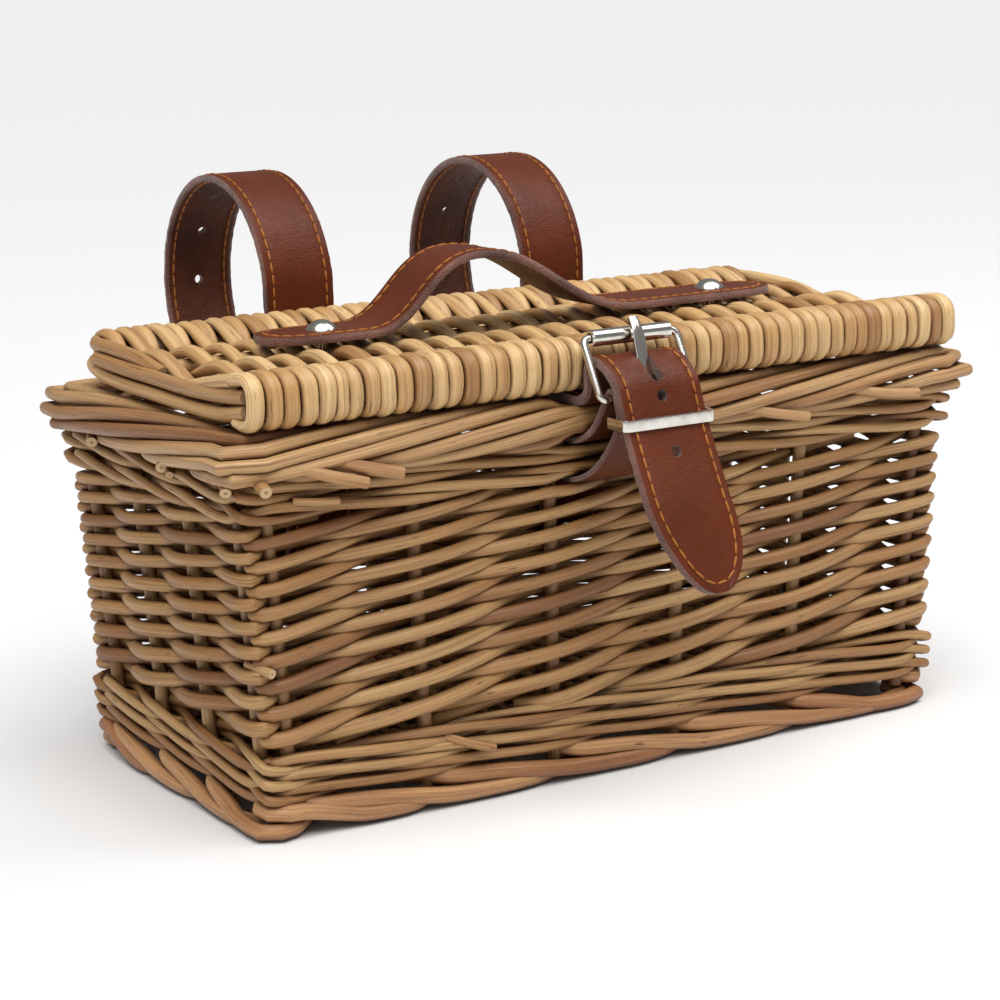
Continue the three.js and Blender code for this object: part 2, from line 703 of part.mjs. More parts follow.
const upperWale = wale(upperWaleLow, upperWaleHeight, upperWaleOverhang);
add('upper_wale', cut(upperWale, [...stakeChannels, buckleStrapCutter]), willow);
const borderWidth = wallThickness + borderOverhang;
const borderRods = borderSection(borderHeight, borderWidth, borderRodRadius);
const border = band(borderLow, borderHeight, borderOverhang, borderWidth, borderRods);
const borderCuts = [buckleStrapCutter, closingCutter, ...barCutters, ...hingeCutters];
add('top_border', cut(border, borderCuts), willow);
add('hinge_ring_left', hingeRing(-hingeX, hingeWireRadius), willow);
add('hinge_ring_right', hingeRing(hingeX, hingeWireRadius), willow);

// Handle line: flat ends on the lid and a bow between them
const handleY = (frontStickY + backStickY) / 2;
const handleFlatZ = lidTop + seatGap + handleThickness / 2;
const handleEnd = handleLength / 2;
const bowStart = -handleEnd + handleFlatLeft;
const bowEnd = handleEnd - handleFlatRight;
const onHandle = (x, rise) => new THREE.Vector3(x, handleY, handleFlatZ + rise);
const handleCurves = [
  new THREE.LineCurve3(onHandle(-handleEnd, 0), onHandle(bowStart, 0)),
  new THREE.CubicBezierCurve3(
    onHandle(bowStart, 0), onHandle(bowStart + 0.45 * (handlePeak - bowStart), 0),
    onHandle(bowStart + 0.5 * (handlePeak - bowStart), handleBow), onHandle(handlePeak, handleBow),
  ),
  new THREE.CubicBezierCurve3(
    onHandle(handlePeak, handleBow), onHandle(handlePeak + 0.42 * (bowEnd - handlePeak), handleBow),
    onHandle(handlePeak + 0.52 * (bowEnd - handlePeak), 0), onHandle(bowEnd, 0),
  ),
  new THREE.LineCurve3(onHandle(bowEnd, 0), onHandle(handleEnd, 0)),
];
const handlePath = handleCurves.flatMap((curve, i) => curve.getPoints(10).slice(i === 0 ? 0 : 1));
const handleSection = (i) => {
  const fromEnd = handleEnd - Math.abs(handlePath[i].x);
  const share = Math.min(fromEnd / handlePoint, 1);
  const width = THREE.MathUtils.lerp(handleTipWidth, handleWidth, Math.sin((share * Math.PI) / 2));
  return flatSection(width, handleThickness);
};
const rivetX = handleEnd - rivetInset;
const rivetHoles = [-rivetX, rivetX].map((x) => rod(
  new THREE.Vector3(x, handleY, lidLow - lidThickness),
  new THREE.Vector3(x, handleY, lidTop + lidThickness),
  rivetShankRadius + slotGap, 10,
));
add('handle_strap', cut(sweep(handlePath, yAxis, handleSection), rivetHoles), leather);

// Rivets through handle and lid, peened over a washer below
const washerLow = lidLow - seatGap - washerThickness;
const flareTop = washerLow - seatGap;
const headLow = handleFlatZ + handleThickness / 2 + seatGap;
const dome = [90, 67, 45, 22].map((degrees) => {
  const angle = THREE.MathUtils.degToRad(degrees);
  return [rivetDomeRadius * Math.sin(angle), headLow + rivetDomeHeight * Math.cos(angle)];
});
const rivetProfile = [
  [0, flareTop - rivetFlareHeight], [rivetFlareRadius, flareTop - rivetFlareHeight],
  [rivetFlareRadius, flareTop], [rivetShankRadius, flareTop], [rivetShankRadius, headLow],
  ...dome, [0, headLow + rivetDomeHeight],
];
const washerHole = rivetShankRadius + slotGap;
const washerProfile = [
  [washerHole, washerLow],
  [washerRadius, washerLow],
  [washerRadius, washerLow + washerThickness],
  [washerHole, washerLow + washerThickness],
  [washerHole, washerLow],
];
function turned(profile, sides) {
  const geometry = new THREE.LatheGeometry(profile.map(([r, h]) => new THREE.Vector2(r, h)), sides);
  return geometry.rotateX(Math.PI / 2);
}
for (const [side, x] of [['left', -rivetX], ['right', rivetX]]) {
  add(`handle_rivet_${side}`, turned(rivetProfile, 14), nickel).position.set(x, handleY, 0);
  add(`handle_washer_${side}`, turned(washerProfile, 14), nickel).position.set(x, handleY, 0);
}

// Closing pin, driven up through the closing strap into the lid
const pinHeadTop = closingUnder - closingThickness / 2 - seatGap;
const pinProfile = [
  [0, pinHeadTop - pinHeadHeight], [pinHeadRadius, pinHeadTop - pinHeadHeight], [pinHeadRadius, pinHeadTop],
  [pinRadius, pinHeadTop], [pinRadius, lidLow + pinDepth], [0, lidLow + pinDepth],
];
add('closing_pin', turned(pinProfile, 10), nickel).position.set(closingX, pinY, 0);
const pinHole = rod(
  new THREE.Vector3(closingX, pinY, pinHeadTop),
  new THREE.Vector3(closingX, pinY, lidLow + pinDepth + slotGap),
  pinRadius + slotGap, 10,
);

// Lid: sticks, weave and end rods
const weaveHalf = lidLength / 2 - lidEndWidth - seatGap;
const lidSticks = {
  lid_front_rail: [frontRailY, railRadius],
  lid_stick_front: [frontStickY, innerStickRadius],
  lid_stick_back: [backStickY, innerStickRadius],
  lid_back_rail: [backRailY, railRadius],
};
const stickCutters = [];
for (const [name, [y, radius]] of Object.entries(lidSticks)) {
  const end = new THREE.Vector3(lidLength / 2, y, railHeight);
  const start = new THREE.Vector3(-lidLength / 2, y, railHeight);
  add(name, rod(start, end, radius, 8), paleWillow);
  const past = new THREE.Vector3(lidEndWidth, 0, 0);
  stickCutters.push(rod(start.clone().sub(past), end.clone().add(past), radius + slotGap, 8));
}
function lidOutline(thickness) {
  const shape = new THREE.Shape();
  shape.absarc(frontRailY, railHeight, thickness / 2, Math.PI / 2, 1.5 * Math.PI, false);
  shape.absarc(backRailY, railHeight, thickness / 2, -Math.PI / 2, Math.PI / 2, false);
  shape.closePath();
  return shape;
}
const hingeSlots = [-hingeX, hingeX].map((x) => boxBetween(
  new THREE.Vector3(x - hingeWireRadius - 2 * slotGap, backRailY - hingeSlotDepth, lidLow - lidThickness),
  new THREE.Vector3(x + hingeWireRadius + 2 * slotGap, lidBack + lidThickness, lidTop + lidThickness),
));

// The rods across the lid pass the sticks over and under in turn, and all are wrapped round both rails.
const lidRodThickness = lidThickness / 2 - railRadius - slotGap;
const wrapMiddle = (lidThickness - lidRodThickness) / 2;
const wrapHalfSide = 360 / 16;
const wrapHalfTurn = 5 * wrapHalfSide;
const wrapCorner = wrapMiddle / Math.cos(THREE.MathUtils.degToRad(wrapHalfSide));
const wrapFlat = wrapMiddle * Math.tan(THREE.MathUtils.degToRad(wrapHalfSide));
const stickLift = innerStickRadius + 2 * slotGap + lidRodThickness / 2;
const lidPath = (points) => points.map(([y, z]) => new THREE.Vector3(0, y, z));

// facing is 180 for the front rail and 0 for the back rail
function lidWrap(railY, facing) {
  const rail = new THREE.Vector2(railY, railHeight);
  const path = lidPath(arcPoints(rail, wrapCorner, facing - wrapHalfTurn, facing + wrapHalfTurn, 6));
  return strap(path, 2 * weaveHalf, lidRodThickness);
}

// top is 1 where the rod goes over the front rail and -1 where it goes under it
function lidRod(top, low, high) {
  const path = lidPath([
    [backRailY, railHeight - top * wrapMiddle],
    [backRailY - wrapFlat, railHeight - top * wrapMiddle],
    [backStickY, railHeight + top * stickLift],
    [frontStickY, railHeight - top * stickLift],
    [frontRailY + wrapFlat, railHeight + top * wrapMiddle],
    [frontRailY, railHeight + top * wrapMiddle],
  ]);
  return setEnds(strap(path, high - low, lidRodThickness), 0, low, high);
}

const rodEnds = Array.from({ length: lidRods + 1 }, (_, i) => (
  THREE.MathUtils.lerp(-weaveHalf, weaveHalf, i / lidRods)
));
const rodsAcross = Array.from({ length: lidRods }, (_, i) => (
  lidRod(i % 2 === 0 ? 1 : -1, rodEnds[i], rodEnds[i + 1])
));
const lidMat = join([lidWrap(frontRailY, 180), lidWrap(backRailY, 0), ...rodsAcross]);
add('lid_weave', cut(lidMat, [...hingeSlots, ...rivetHoles, pinHole]), paleWillow);
for (const [name, sign] of [['lid_end_left', -1], ['lid_end_right', 1]]) {
  const end = sideExtrude(lidOutline(lidEndHeight), lidEndWidth, 6);
  end.translate(sign * (lidLength / 2 - lidEndWidth / 2), 0, 0);
  add(name, cut(end, stickCutters), paleWillow);
}

// Front closing: strap, loop, buckle and keeper
const closingStrap = sweep(
  closingPath, xAxis, (i) => closingSection(closingWidth, closingThickness, i),
).translate(closingX, 0, 0);
const closingSlot = prongSlot(closingLines, heelFold, frameLength - rollerRadius, 3 * closingOverHeel);
add('closing_strap', cut(closingStrap, [pinHole, closingSlot.translate(closingX, 0, 0)]), leather);
const buckleStrap = strap(bucklePath, buckleStrapWidth, buckleStrapThickness, true);
const loopSlot = prongSlot(closingLines, -2 * loopFold, 2 * loopFold, 4 * loopFold);
add('buckle_strap', cut(buckleStrap, [loopSlot.translate(closingX, 0, 0)]), leather);
addBuckle('front', closingLines, closingX, closingWidth);

const keeperInnerX = closingWidth / 2 + keeperGap / 2;
const keeperFront = keeperY - closingThickness / 2 - keeperGap;
const keeperBack = plyFrontY + buckleStrapThickness / 2 + keeperGap;
const keeperMiddle = (keeperFront + keeperBack) / 2;
const keeperInnerY = (keeperBack - keeperFront) / 2;
const keeperShape = new THREE.Shape(roundedRectangle(
  keeperInnerX + keeperWall, keeperInnerY + keeperWall, keeperWall, 2,
).map(([x, y]) => new THREE.Vector2(x, y)));
keeperShape.holes.push(new THREE.Path(roundedRectangle(
  keeperInnerX, keeperInnerY, keeperWall / 2, 2,
).map(([x, y]) => new THREE.Vector2(x, y))));
const keeper = new THREE.ExtrudeGeometry(keeperShape, { depth: keeperHeight, bevelEnabled: false });
add('front_keeper', keeper, nickel).position.set(closingX, keeperMiddle, keeperZ - keeperHeight / 2);

// Handlebar belts and their buckles
const barStrap = strap(barPath, barWidth, barThickness);
const barFoldSlot = prongSlot(barLines, -2 * barFold, barFold, 4 * barFold);
const barHole = prongSlot(barLines, barFold, frameLength - rollerRadius, 3 * barOverHeel);
const holedBarStrap = cut(barStrap, [barFoldSlot, barHole]);
for (const [side, x] of Object.entries(barSpots)) {
  add(`${side}_bar_strap`, holedBarStrap.clone().translate(x, 0, 0), leather);
  addBuckle(`${side}_bar`, barLines, x, barWidth);
}

// The origin lies under the middle of the whole object, straps included.
const reach = new THREE.Box3().setFromObject(basket);
basket.position.y = -(reach.min.y + reach.max.y) / 2;
const part = new THREE.Group();
part.add(basket);

export default part;
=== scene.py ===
"""Handlebar bicycle basket: a willow body and lid, leather straps and nickel roller buckles.

Metres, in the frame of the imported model: +X along the basket, -Y to the front, +Z up.
"""
import math
import random

import bmesh
import bpy
import numpy as np
from mathutils import Matrix, Vector


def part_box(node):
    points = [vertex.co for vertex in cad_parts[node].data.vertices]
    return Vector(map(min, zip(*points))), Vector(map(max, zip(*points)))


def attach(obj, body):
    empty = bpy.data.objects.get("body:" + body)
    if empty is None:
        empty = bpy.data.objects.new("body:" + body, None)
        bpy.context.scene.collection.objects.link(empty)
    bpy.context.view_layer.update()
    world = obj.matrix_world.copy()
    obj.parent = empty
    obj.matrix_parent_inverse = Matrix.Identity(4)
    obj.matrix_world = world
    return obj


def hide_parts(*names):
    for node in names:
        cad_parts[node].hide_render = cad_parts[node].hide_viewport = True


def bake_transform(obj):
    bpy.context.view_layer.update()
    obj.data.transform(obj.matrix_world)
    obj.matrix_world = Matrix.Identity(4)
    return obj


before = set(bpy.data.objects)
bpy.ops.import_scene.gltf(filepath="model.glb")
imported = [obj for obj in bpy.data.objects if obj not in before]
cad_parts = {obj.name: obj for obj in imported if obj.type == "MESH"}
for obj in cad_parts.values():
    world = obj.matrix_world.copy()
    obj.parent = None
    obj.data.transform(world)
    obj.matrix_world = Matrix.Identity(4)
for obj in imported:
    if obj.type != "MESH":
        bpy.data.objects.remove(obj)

for spare_name in ("Cube", "Light", "Camera"):
    spare = bpy.data.objects.get(spare_name)
    if spare:
        bpy.data.objects.remove(spare)
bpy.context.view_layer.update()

# Stakes: twenty upright willow rods, peeled and boiled to a golden brown, about 4 mm thick.
# They are driven into the base and bent up, and every rod of the sides is woven round them.
MM = 0.001
chance = random.Random(11)


def paint(red, green, blue):
    """A colour as the eye reads it, 0 to 255, turned into linear light."""
    shares = [level / 255 for level in (red, green, blue)]
    return [*(((share + 0.055) / 1.055) ** 2.4 for share in shares), 1.0]


def place(tree, kind, inputs=None, **settings):
    """Add a node to a tree; settings are its options, inputs are values or sockets joined to it."""
    node = tree.nodes.new(kind)
    for name, value in settings.items():
        setattr(node, name, value)
    for key, value in (inputs or {}).items():
        if isinstance(value, bpy.types.NodeSocket):
            tree.links.new(value, node.inputs[key])
        else:
            node.inputs[key].default_value = value
    return node


def first_of(tree, kind, inputs=None, **settings):
    """Add a node and hand on its first output."""
    return place(tree, kind, inputs, **settings).outputs[0]


def math_of(tree, operation, *values):
    """One arithmetic step between sockets or numbers."""
    return first_of(tree, "ShaderNodeMath", dict(enumerate(values)), operation=operation)


def noise_of(tree, spot, scale, detail, distortion=0.0):
    """Soft noise at a place."""
    inputs = {"Vector": spot, "Scale": scale, "Detail": detail, "Distortion": distortion}
    return place(tree, "ShaderNodeTexNoise", inputs).outputs["Fac"]


def mix_of(tree, share, first, second):
    """A colour between two colours."""
    node = place(tree, "ShaderNodeMix", {0: share, 6: first, 7: second}, data_type="RGBA")
    return node.outputs[2]


def ramp_of(tree, value, low, high, to_low, to_high):
    """A value carried from one range to another and held at its ends."""
    inputs = {"Value": value, 1: low, 2: high, 3: to_low, 4: to_high}
    return first_of(tree, "ShaderNodeMapRange", inputs)


def laid_over(tree, base, over, value, low, high, most):
    """A colour laid over another as a value runs from low to high, up to a share of most."""
    return mix_of(tree, ramp_of(tree, value, low, high, 0.0, most), base, over)


def new_group(name, kind, inputs, outputs):
    """An empty node group with named sockets, and its two end nodes."""
    tree = bpy.data.node_groups.new(name, kind)
    for label, socket, default in inputs:
        made = tree.interface.new_socket(label, in_out="INPUT", socket_type=socket)
        if default is not None:
            made.default_value = default
    for label, socket in outputs:
        tree.interface.new_socket(label, in_out="OUTPUT", socket_type=socket)
    return tree, tree.nodes.new("NodeGroupInput"), tree.nodes.new("NodeGroupOutput")


COLOR = "NodeSocketColor"
FLOAT = "NodeSocketFloat"
FINISH_OUTPUTS = [("Color", COLOR), ("Roughness", FLOAT), ("Height", FLOAT)]
# How far the painted shade between rods looks for nearby rods.
SHADE_REACH = 5 * MM


def build_willow_skin():
    """Peeled willow: slow changes of tone, streaks, bud scars, a pale cut end and painted shade between
    rods.
    """
    tree, given, made = new_group(
        "willow_skin", "ShaderNodeTree",
        [("Pale", COLOR, None), ("Warm", COLOR, None), ("Brown", COLOR, None), ("Streak", FLOAT, 0.5)],
        FINISH_OUTPUTS,
    )
    pale, warm, brown, streak_share = (given.outputs[name] for name in ("Pale", "Warm", "Brown", "Streak"))
    tone = place(tree, "ShaderNodeAttribute", attribute_name="tone").outputs["Fac"]
    along = place(tree, "ShaderNodeAttribute", attribute_name="along").outputs["Fac"]
    skin = place(tree, "ShaderNodeAttribute", attribute_name="skin").outputs["Vector"]

    def grain(across, lengthways, offset, detail):
        shift = math_of(tree, "MULTIPLY", tone, offset)
        depth = math_of(tree, "MULTIPLY_ADD", along, lengthways, shift)
        lift = first_of(tree, "ShaderNodeCombineXYZ", {"Z": depth})
        spread = {0: skin, 1: (across, across, across), 2: lift}
        spot = first_of(tree, "ShaderNodeVectorMath", spread, operation="MULTIPLY_ADD")
        return noise_of(tree, spot, 1.0, detail)

    slow = grain(0.3, 14.0, 313.0, 2.0)
    broad = grain(1.6, 22.0, 57.0, 3.0)
    streak = grain(5.5, 30.0, 91.0, 4.0)
    scar = grain(2.2, 130.0, 77.0, 1.0)
    fleck = grain(7.0, 420.0, 41.0, 2.0)
    warmth = math_of(tree, "ADD", tone, ramp_of(tree, slow, 0.3, 0.7, -0.4, 0.4))
    golden = laid_over(tree, pale, warm, warmth, 0.0, 1.0, 1.0)
    aged = laid_over(tree, golden, brown, tone, 0.70, 1.0, 0.6)
    patched = laid_over(tree, aged, brown, broad, 0.48, 0.75, 0.45)
    streaked = laid_over(tree, patched, brown, streak, 0.44, 0.70, streak_share)
    dark = mix_of(tree, 0.55, brown, paint(38, 20, 10))
    scarred = laid_over(tree, streaked, dark, scar, 0.70, 0.78, 0.8)
    flecked = laid_over(tree, scarred, dark, fleck, 0.64, 0.76, 0.5)
    reach = place(tree, "ShaderNodeVectorMath", {0: skin}, operation="LENGTH").outputs["Value"]
    pith = laid_over(tree, paint(120, 80, 48), paint(212, 184, 138), reach, 0.1, 0.4, 1.0)
    clean = mix_of(tree, ramp_of(tree, reach, 0.80, 0.92, 0.75, 0.0), flecked, pith)
    # Painted shade: where nearby rods close in, the colour darkens to a deep orange-brown, standing in for
    # the shadow between rods.
    open_sky = place(tree, "ShaderNodeAmbientOcclusion", {"Distance": SHADE_REACH}, samples=6).outputs["AO"]
    painted_shade = ramp_of(tree, open_sky, 0.10, 0.75, 0.88, 0.0)
    color = mix_of(tree, painted_shade, clean, paint(74, 30, 6))
    tree.links.new(color, made.inputs["Color"])
    tree.links.new(ramp_of(tree, streak, 0.3, 0.7, 0.40, 0.58), made.inputs["Roughness"])
    tree.links.new(math_of(tree, "MULTIPLY_ADD", fleck, 0.35, streak), made.inputs["Height"])
    return tree


willow_skin = build_willow_skin()


def new_material(name, roughness=0.5, metallic=0.0):
    """A material with its Principled shader ready to be fed."""
    material = bpy.data.materials.new(name)
    material.use_nodes = True
    shader = material.node_tree.nodes["Principled BSDF"]
    shader.inputs["Roughness"].default_value = roughness
    shader.inputs["Metallic"].default_value = metallic
    return material, material.node_tree, shader


def feed(tree, shader, color, roughness, height, depth, strength=1.0):
    """Join a finish's colour, roughness and height to its shader."""
    tree.links.new(color, shader.inputs["Base Color"])
    tree.links.new(roughness, shader.inputs["Roughness"])
    bump = {"Height": height, "Distance": depth, "Strength": strength}
    tree.links.new(first_of(tree, "ShaderNodeBump", bump), shader.inputs["Normal"])


def willow(name, pale, warm, brown, streak=0.5):
    """Varnished willow in one range of tones."""
    material, tree, shader = new_material(name)
    tones = {"Pale": paint(*pale), "Warm": paint(*warm), "Brown": paint(*brown), "Streak": streak}
    skin = place(tree, "ShaderNodeGroup", tones, node_tree=willow_skin)
    feed(tree, shader, *skin.outputs[:3], 0.4 * MM, 0.6)
    shader.inputs["Coat Weight"].default_value = 0.15
    shader.inputs["Coat Roughness"].default_value = 0.35
    return material


def end_tree(tree, given, made, shape):
    """Close a geometry tree: what it makes is smooth and real, and takes its finish."""
    smooth = first_of(tree, "GeometryNodeSetShadeSmooth", {"Geometry": shape})
    real = first_of(tree, "GeometryNodeRealizeInstances", {"Geometry": smooth})
    finished = {"Geometry": real, "Material": given.outputs["Finish"]}
    tree.links.new(first_of(tree, "GeometryNodeSetMaterial", finished), made.inputs[0])
    return tree


def build_rod_tree():
    """Lines of points become rods: each point has its own thickness, and cut ends are capped."""
    tree, given, made = new_group(
        "rods_on_lines", "GeometryNodeTree",
        [("Lines", "NodeSocketGeometry", None), ("Sides", "NodeSocketInt", 10), ("Flat", FLOAT, 1.0),
         ("Finish", "NodeSocketMaterial", None)],
        [("Rods", "NodeSocketGeometry")],
    )
    curve = first_of(tree, "GeometryNodeMeshToCurve", {"Mesh": given.outputs["Lines"]})
    thick = first_of(tree, "GeometryNodeInputNamedAttribute", {"Name": "thick"}, data_type="FLOAT")
    circle = {"Resolution": given.outputs["Sides"], "Radius": 1.0}
    ring = first_of(tree, "GeometryNodeCurvePrimitiveCircle", circle)
    marked = {"Geometry": ring, "Name": "skin", "Value": first_of(tree, "GeometryNodeInputPosition")}
    ring = first_of(
        tree, "GeometryNodeStoreNamedAttribute", marked, data_type="FLOAT_VECTOR", domain="POINT",
    )
    press = first_of(tree, "ShaderNodeCombineXYZ", {"X": 1.0, "Y": given.outputs["Flat"], "Z": 1.0})
    ring = first_of(tree, "GeometryNodeTransform", {"Geometry": ring, "Scale": press})
    swept = {"Curve": curve, "Profile Curve": ring, "Scale": thick, "Fill Caps": True}
    return end_tree(tree, given, made, first_of(tree, "GeometryNodeCurveToMesh", swept))


rod_tree = build_rod_tree()


def settle(piece):
    """Turn what a piece's modifiers make into its own plain mesh."""
    graph = bpy.context.evaluated_depsgraph_get()
    shape = bpy.data.meshes.new_from_object(
        piece.evaluated_get(graph), preserve_all_data_layers=True, depsgraph=graph,
    )
    rough = piece.data
    piece.modifiers.clear()
    piece.data = shape
    bpy.data.meshes.remove(rough)


def new_piece(name, mesh):
    """A mesh as an object of the scene."""
    piece = bpy.data.objects.new(name, mesh)
    bpy.context.scene.collection.objects.link(piece)
    return piece


def new_lines(name, lines, closed=False):
    """A piece of lines only: points joined by edges."""
    spots, edges = [], []
    for line in lines:
        first = len(spots)
        spots += np.asarray(line, float).tolist()
        edges += [(i, i + 1) for i in range(first, len(spots) - 1)]
        if closed:
            edges.append((len(spots) - 1, first))
    mesh = bpy.data.meshes.new(name)
    mesh.from_pydata(spots, edges, [])
    return new_piece(name, mesh)


def grow(piece, tree, values):
    """Run a node tree on a piece, with its named inputs set, and keep what it makes."""
    modifier = piece.modifiers.new(tree.name, "NODES")
    modifier.node_group = tree
    for item in tree.interface.items_tree:
        if item.in_out == "INPUT" and item.name in values:
            modifier[item.identifier] = values[item.name]
    settle(piece)


def travel_of(line):
    """The distance along a line to each of its points."""
    return np.concatenate(([0.0], np.cumsum(np.linalg.norm(np.diff(line, axis=0), axis=1))))


def belong(piece, body, slot, *nodes):
    """A piece moves with a body and stands for CAD nodes, if it has any. The slot is not used."""
    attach(piece, body)
    if nodes:
        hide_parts(*nodes)


def add_rods(name, rods, finish, body, slot, *nodes, sides=10, closed=False, flat=1.0):
    """One piece from many rods, each a line of points, its radius and its tone from 0 to 1."""
    piece = new_lines(name, [line for line, radius, tone in rods], closed)
    marks = {
        "thick": [np.broadcast_to(radius, len(line)) for line, radius, tone in rods],
        "tone": [np.full(len(line), tone) for line, radius, tone in rods],
        "along": [travel_of(line) for line, radius, tone in rods],
    }
    for label, values in marks.items():
        layer = piece.data.attributes.new(label, "FLOAT", "POINT")
        layer.data.foreach_set("value", np.concatenate(values).tolist())
    grow(piece, rod_tree, {"Sides": sides, "Flat": flat, "Finish": finish})
    piece.data.set_sharp_from_angle(angle=math.radians(50))
    belong(piece, body, slot, *nodes)


SIDE_WAYS = {"front": (0, -1), "right": (1, 0), "back": (0, 1), "left": (-1, 0)}
STAKE_NAMES = (
    [("front", n) for n in range(1, 7)] + [("right", n) for n in range(1, 5)]
    + [("back", n) for n in range(6, 0, -1)] + [("left", n) for n in range(4, 0, -1)]
)
CORNER_TURN = 0.45


def node_points(name):
    """All corner points of a CAD node."""
    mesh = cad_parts[name].data
    flat = np.empty(len(mesh.vertices) * 3)
    mesh.vertices.foreach_get("co", flat)
    return flat.reshape(-1, 3)


def stake_ends(side, number):
    """The middle of a stake's foot and of its head."""
    points = node_points(f"stake_{side}_{number}")
    heights = points[:, 2]
    foot = points[heights < heights.min() + MM].mean(axis=0)
    head = points[heights > heights.max() - MM].mean(axis=0)
    return foot, head


stakes = []
for index, (side, number) in enumerate(STAKE_NAMES):
    way = np.array(SIDE_WAYS[side], float)
    for step in (-1, 1):
        beside = STAKE_NAMES[(index + step) % len(STAKE_NAMES)][0]
        if beside != side:
            way = way + CORNER_TURN * np.array(SIDE_WAYS[beside])
    stakes.append((*stake_ends(side, number), np.array([*way / np.linalg.norm(way), 0.0])))


def stake_at(index, height):
    """The middle of a stake at a height, and the way out from it."""
    foot, head, way = stakes[index % len(stakes)]
    share = (height - foot[2]) / (head[2] - foot[2])
    return foot + share * (head - foot), way


willow_stake = willow("willow_stake", (200, 162, 110), (172, 128, 78), (104, 56, 24))


def sway(most):
    """A small chance shift to either side, from its most in millimetres."""
    return chance.uniform(-most, most) * MM


STAKE_LEVELS = np.linspace(6, 107, 14) * MM
STAKE_RADII = np.linspace(2.25, 1.95, len(STAKE_LEVELS)) * MM
stake_rods = []
for index in range(len(stakes)):
    line = np.array([stake_at(index, height)[0] for height in STAKE_LEVELS])
    line[:, 0] += [sway(0.25) for height in STAKE_LEVELS]
    stake_rods.append((line, STAKE_RADII, chance.random()))
stake_nodes = [f"stake_{side}_{number}" for side, number in STAKE_NAMES]
add_rods("stakes", stake_rods, willow_stake, "body", "willow", *stake_nodes)

# Base: a flat mat of willow, five sticks along the basket with thin rods woven across them.
# Its rods end under the foot border, which holds the edge together.
base_low, base_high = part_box("base_weave")
BASE_STICK = 1.6 * MM
BASE_WEAVER = 1.35 * MM
BASE_PITCH = 3.5 * MM
BASE_MARGIN = 5 * MM
WEAVER_MARGIN = 2 * MM


def smooth_line(points, step):
    """A smooth line through points, with a point about every step."""
    points = np.asarray(points, float)
    before = 2 * points[0] - points[1]
    after = 2 * points[-1] - points[-2]
    whole = np.vstack([before, points, after])
    runs = []
    for a, b, c, d in zip(whole, whole[1:], whole[2:], whole[3:]):
        first, second, third = (np.linalg.norm(q - p) ** 0.5 for p, q in ((a, b), (b, c), (c, d)))
        leave = (c - b) + second * ((b - a) / first - (c - a) / (first + second))
        arrive = (c - b) + second * ((d - c) / third - (d - b) / (second + third))
        count = max(2, math.ceil(np.linalg.norm(c - b) / step))
        s = (np.arange(count) / count)[:, None]
        runs.append(
            (2 * s**3 - 3 * s**2 + 1) * b + (s**3 - 2 * s**2 + s) * leave
            + (3 * s**2 - 2 * s**3) * c + (s**3 - s**2) * arrive
        )
    return np.vstack([*runs, points[-1:]])


def uneven(line, amount, step=20 * MM):
    """Slow chance changes along a rod, one value for each of its points."""
    travel = travel_of(line)
    knots = np.arange(0, travel[-1] + 2 * step, step)
    return np.interp(travel, knots, [chance.uniform(-amount, amount) for knot in knots])


willow_body = willow("willow_body", (192, 153, 99), (166, 119, 68), (104, 54, 22))
base_middle = (base_low.z + base_high.z) / 2
stick_spots = np.linspace(base_low.y + BASE_MARGIN, base_high.y - BASE_MARGIN, 5)
base_rods = []
for spot in stick_spots:
    line = [(x, spot, base_middle) for x in (base_low.x, base_high.x)]
    base_rods.append((line, BASE_STICK, chance.random()))
weaver_count = int((base_high.x - base_low.x) / BASE_PITCH)
weaver_spots = np.linspace(base_low.x + WEAVER_MARGIN, base_high.x - WEAVER_MARGIN, weaver_count)
for number, spot in enumerate(weaver_spots):
    points = [(spot, base_low.y, base_middle)]
    for row, stick in enumerate(stick_spots):
        lift = BASE_STICK if (row + number) % 2 else -BASE_STICK
        points.append((spot + sway(0.2), stick, base_middle + lift))
    points.append((spot, base_high.y, base_middle))
    base_rods.append((smooth_line(points, 5 * MM), BASE_WEAVER, chance.random()))
add_rods("base_mat", base_rods, willow_body, "body", "willow", "base_weave", sides=8)

# Foot border: thick reddish rods plaited round the bottom edge, on which the basket stands.
# Each comes out from under the wale, runs past two stakes and is tucked in under the base.
foot_low, foot_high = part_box("foot_border")
MIDDLE_Y = (foot_low.y + foot_high.y) / 2
CORNER_STRETCH = 0.55
RIM_STEP = 3.5 * MM


def rim(reach_x, reach_y, corner):
    """A rounded rectangle round the basket: its length, and a lookup from distance to place and way out."""
    spots, ways = [], []
    turns = ((1, -1), (1, 1), (-1, 1), (-1, -1))
    for turn, (right, back) in enumerate(turns):
        for angle in np.linspace(0, math.pi / 2, 9) + (turn - 1) * math.pi / 2:
            way = np.array([math.cos(angle), math.sin(angle)])
            centre = np.array([right * (reach_x - corner), MIDDLE_Y + back * (reach_y - corner)])
            spots.append(centre + corner * way)
            ways.append(way * (1 + CORNER_STRETCH * abs(math.sin(2 * angle))))
    both = np.hstack([spots, ways])
    both = np.vstack([both, both[:1]])
    travel = travel_of(both[:, :2])

    def lookup(distance):
        turn = np.asarray(distance) % travel[-1]
        return [np.interp(turn, travel, both[:, k]) for k in range(4)]

    return travel[-1], lookup


def rim_rod(lookup, start, course):
    """A line along a rim: course gives travel from the start, distance out and height."""
    shape = smooth_line(course, RIM_STEP)
    place_x, place_y, way_x, way_y = lookup(start + shape[:, 0])
    return np.column_stack([place_x + way_x * shape[:, 1], place_y + way_y * shape[:, 1], shape[:, 2]])


willow_foot = willow("willow_foot", (198, 150, 100), (170, 116, 72), (100, 52, 24))
FOOT_ROD = 2.5 * MM
FOOT_INSET = 8.5 * MM
FOOT_CORNER = 5 * MM
foot_length, foot_lookup = rim(foot_high.x - FOOT_INSET, foot_high.y - MIDDLE_Y - FOOT_INSET, FOOT_CORNER)


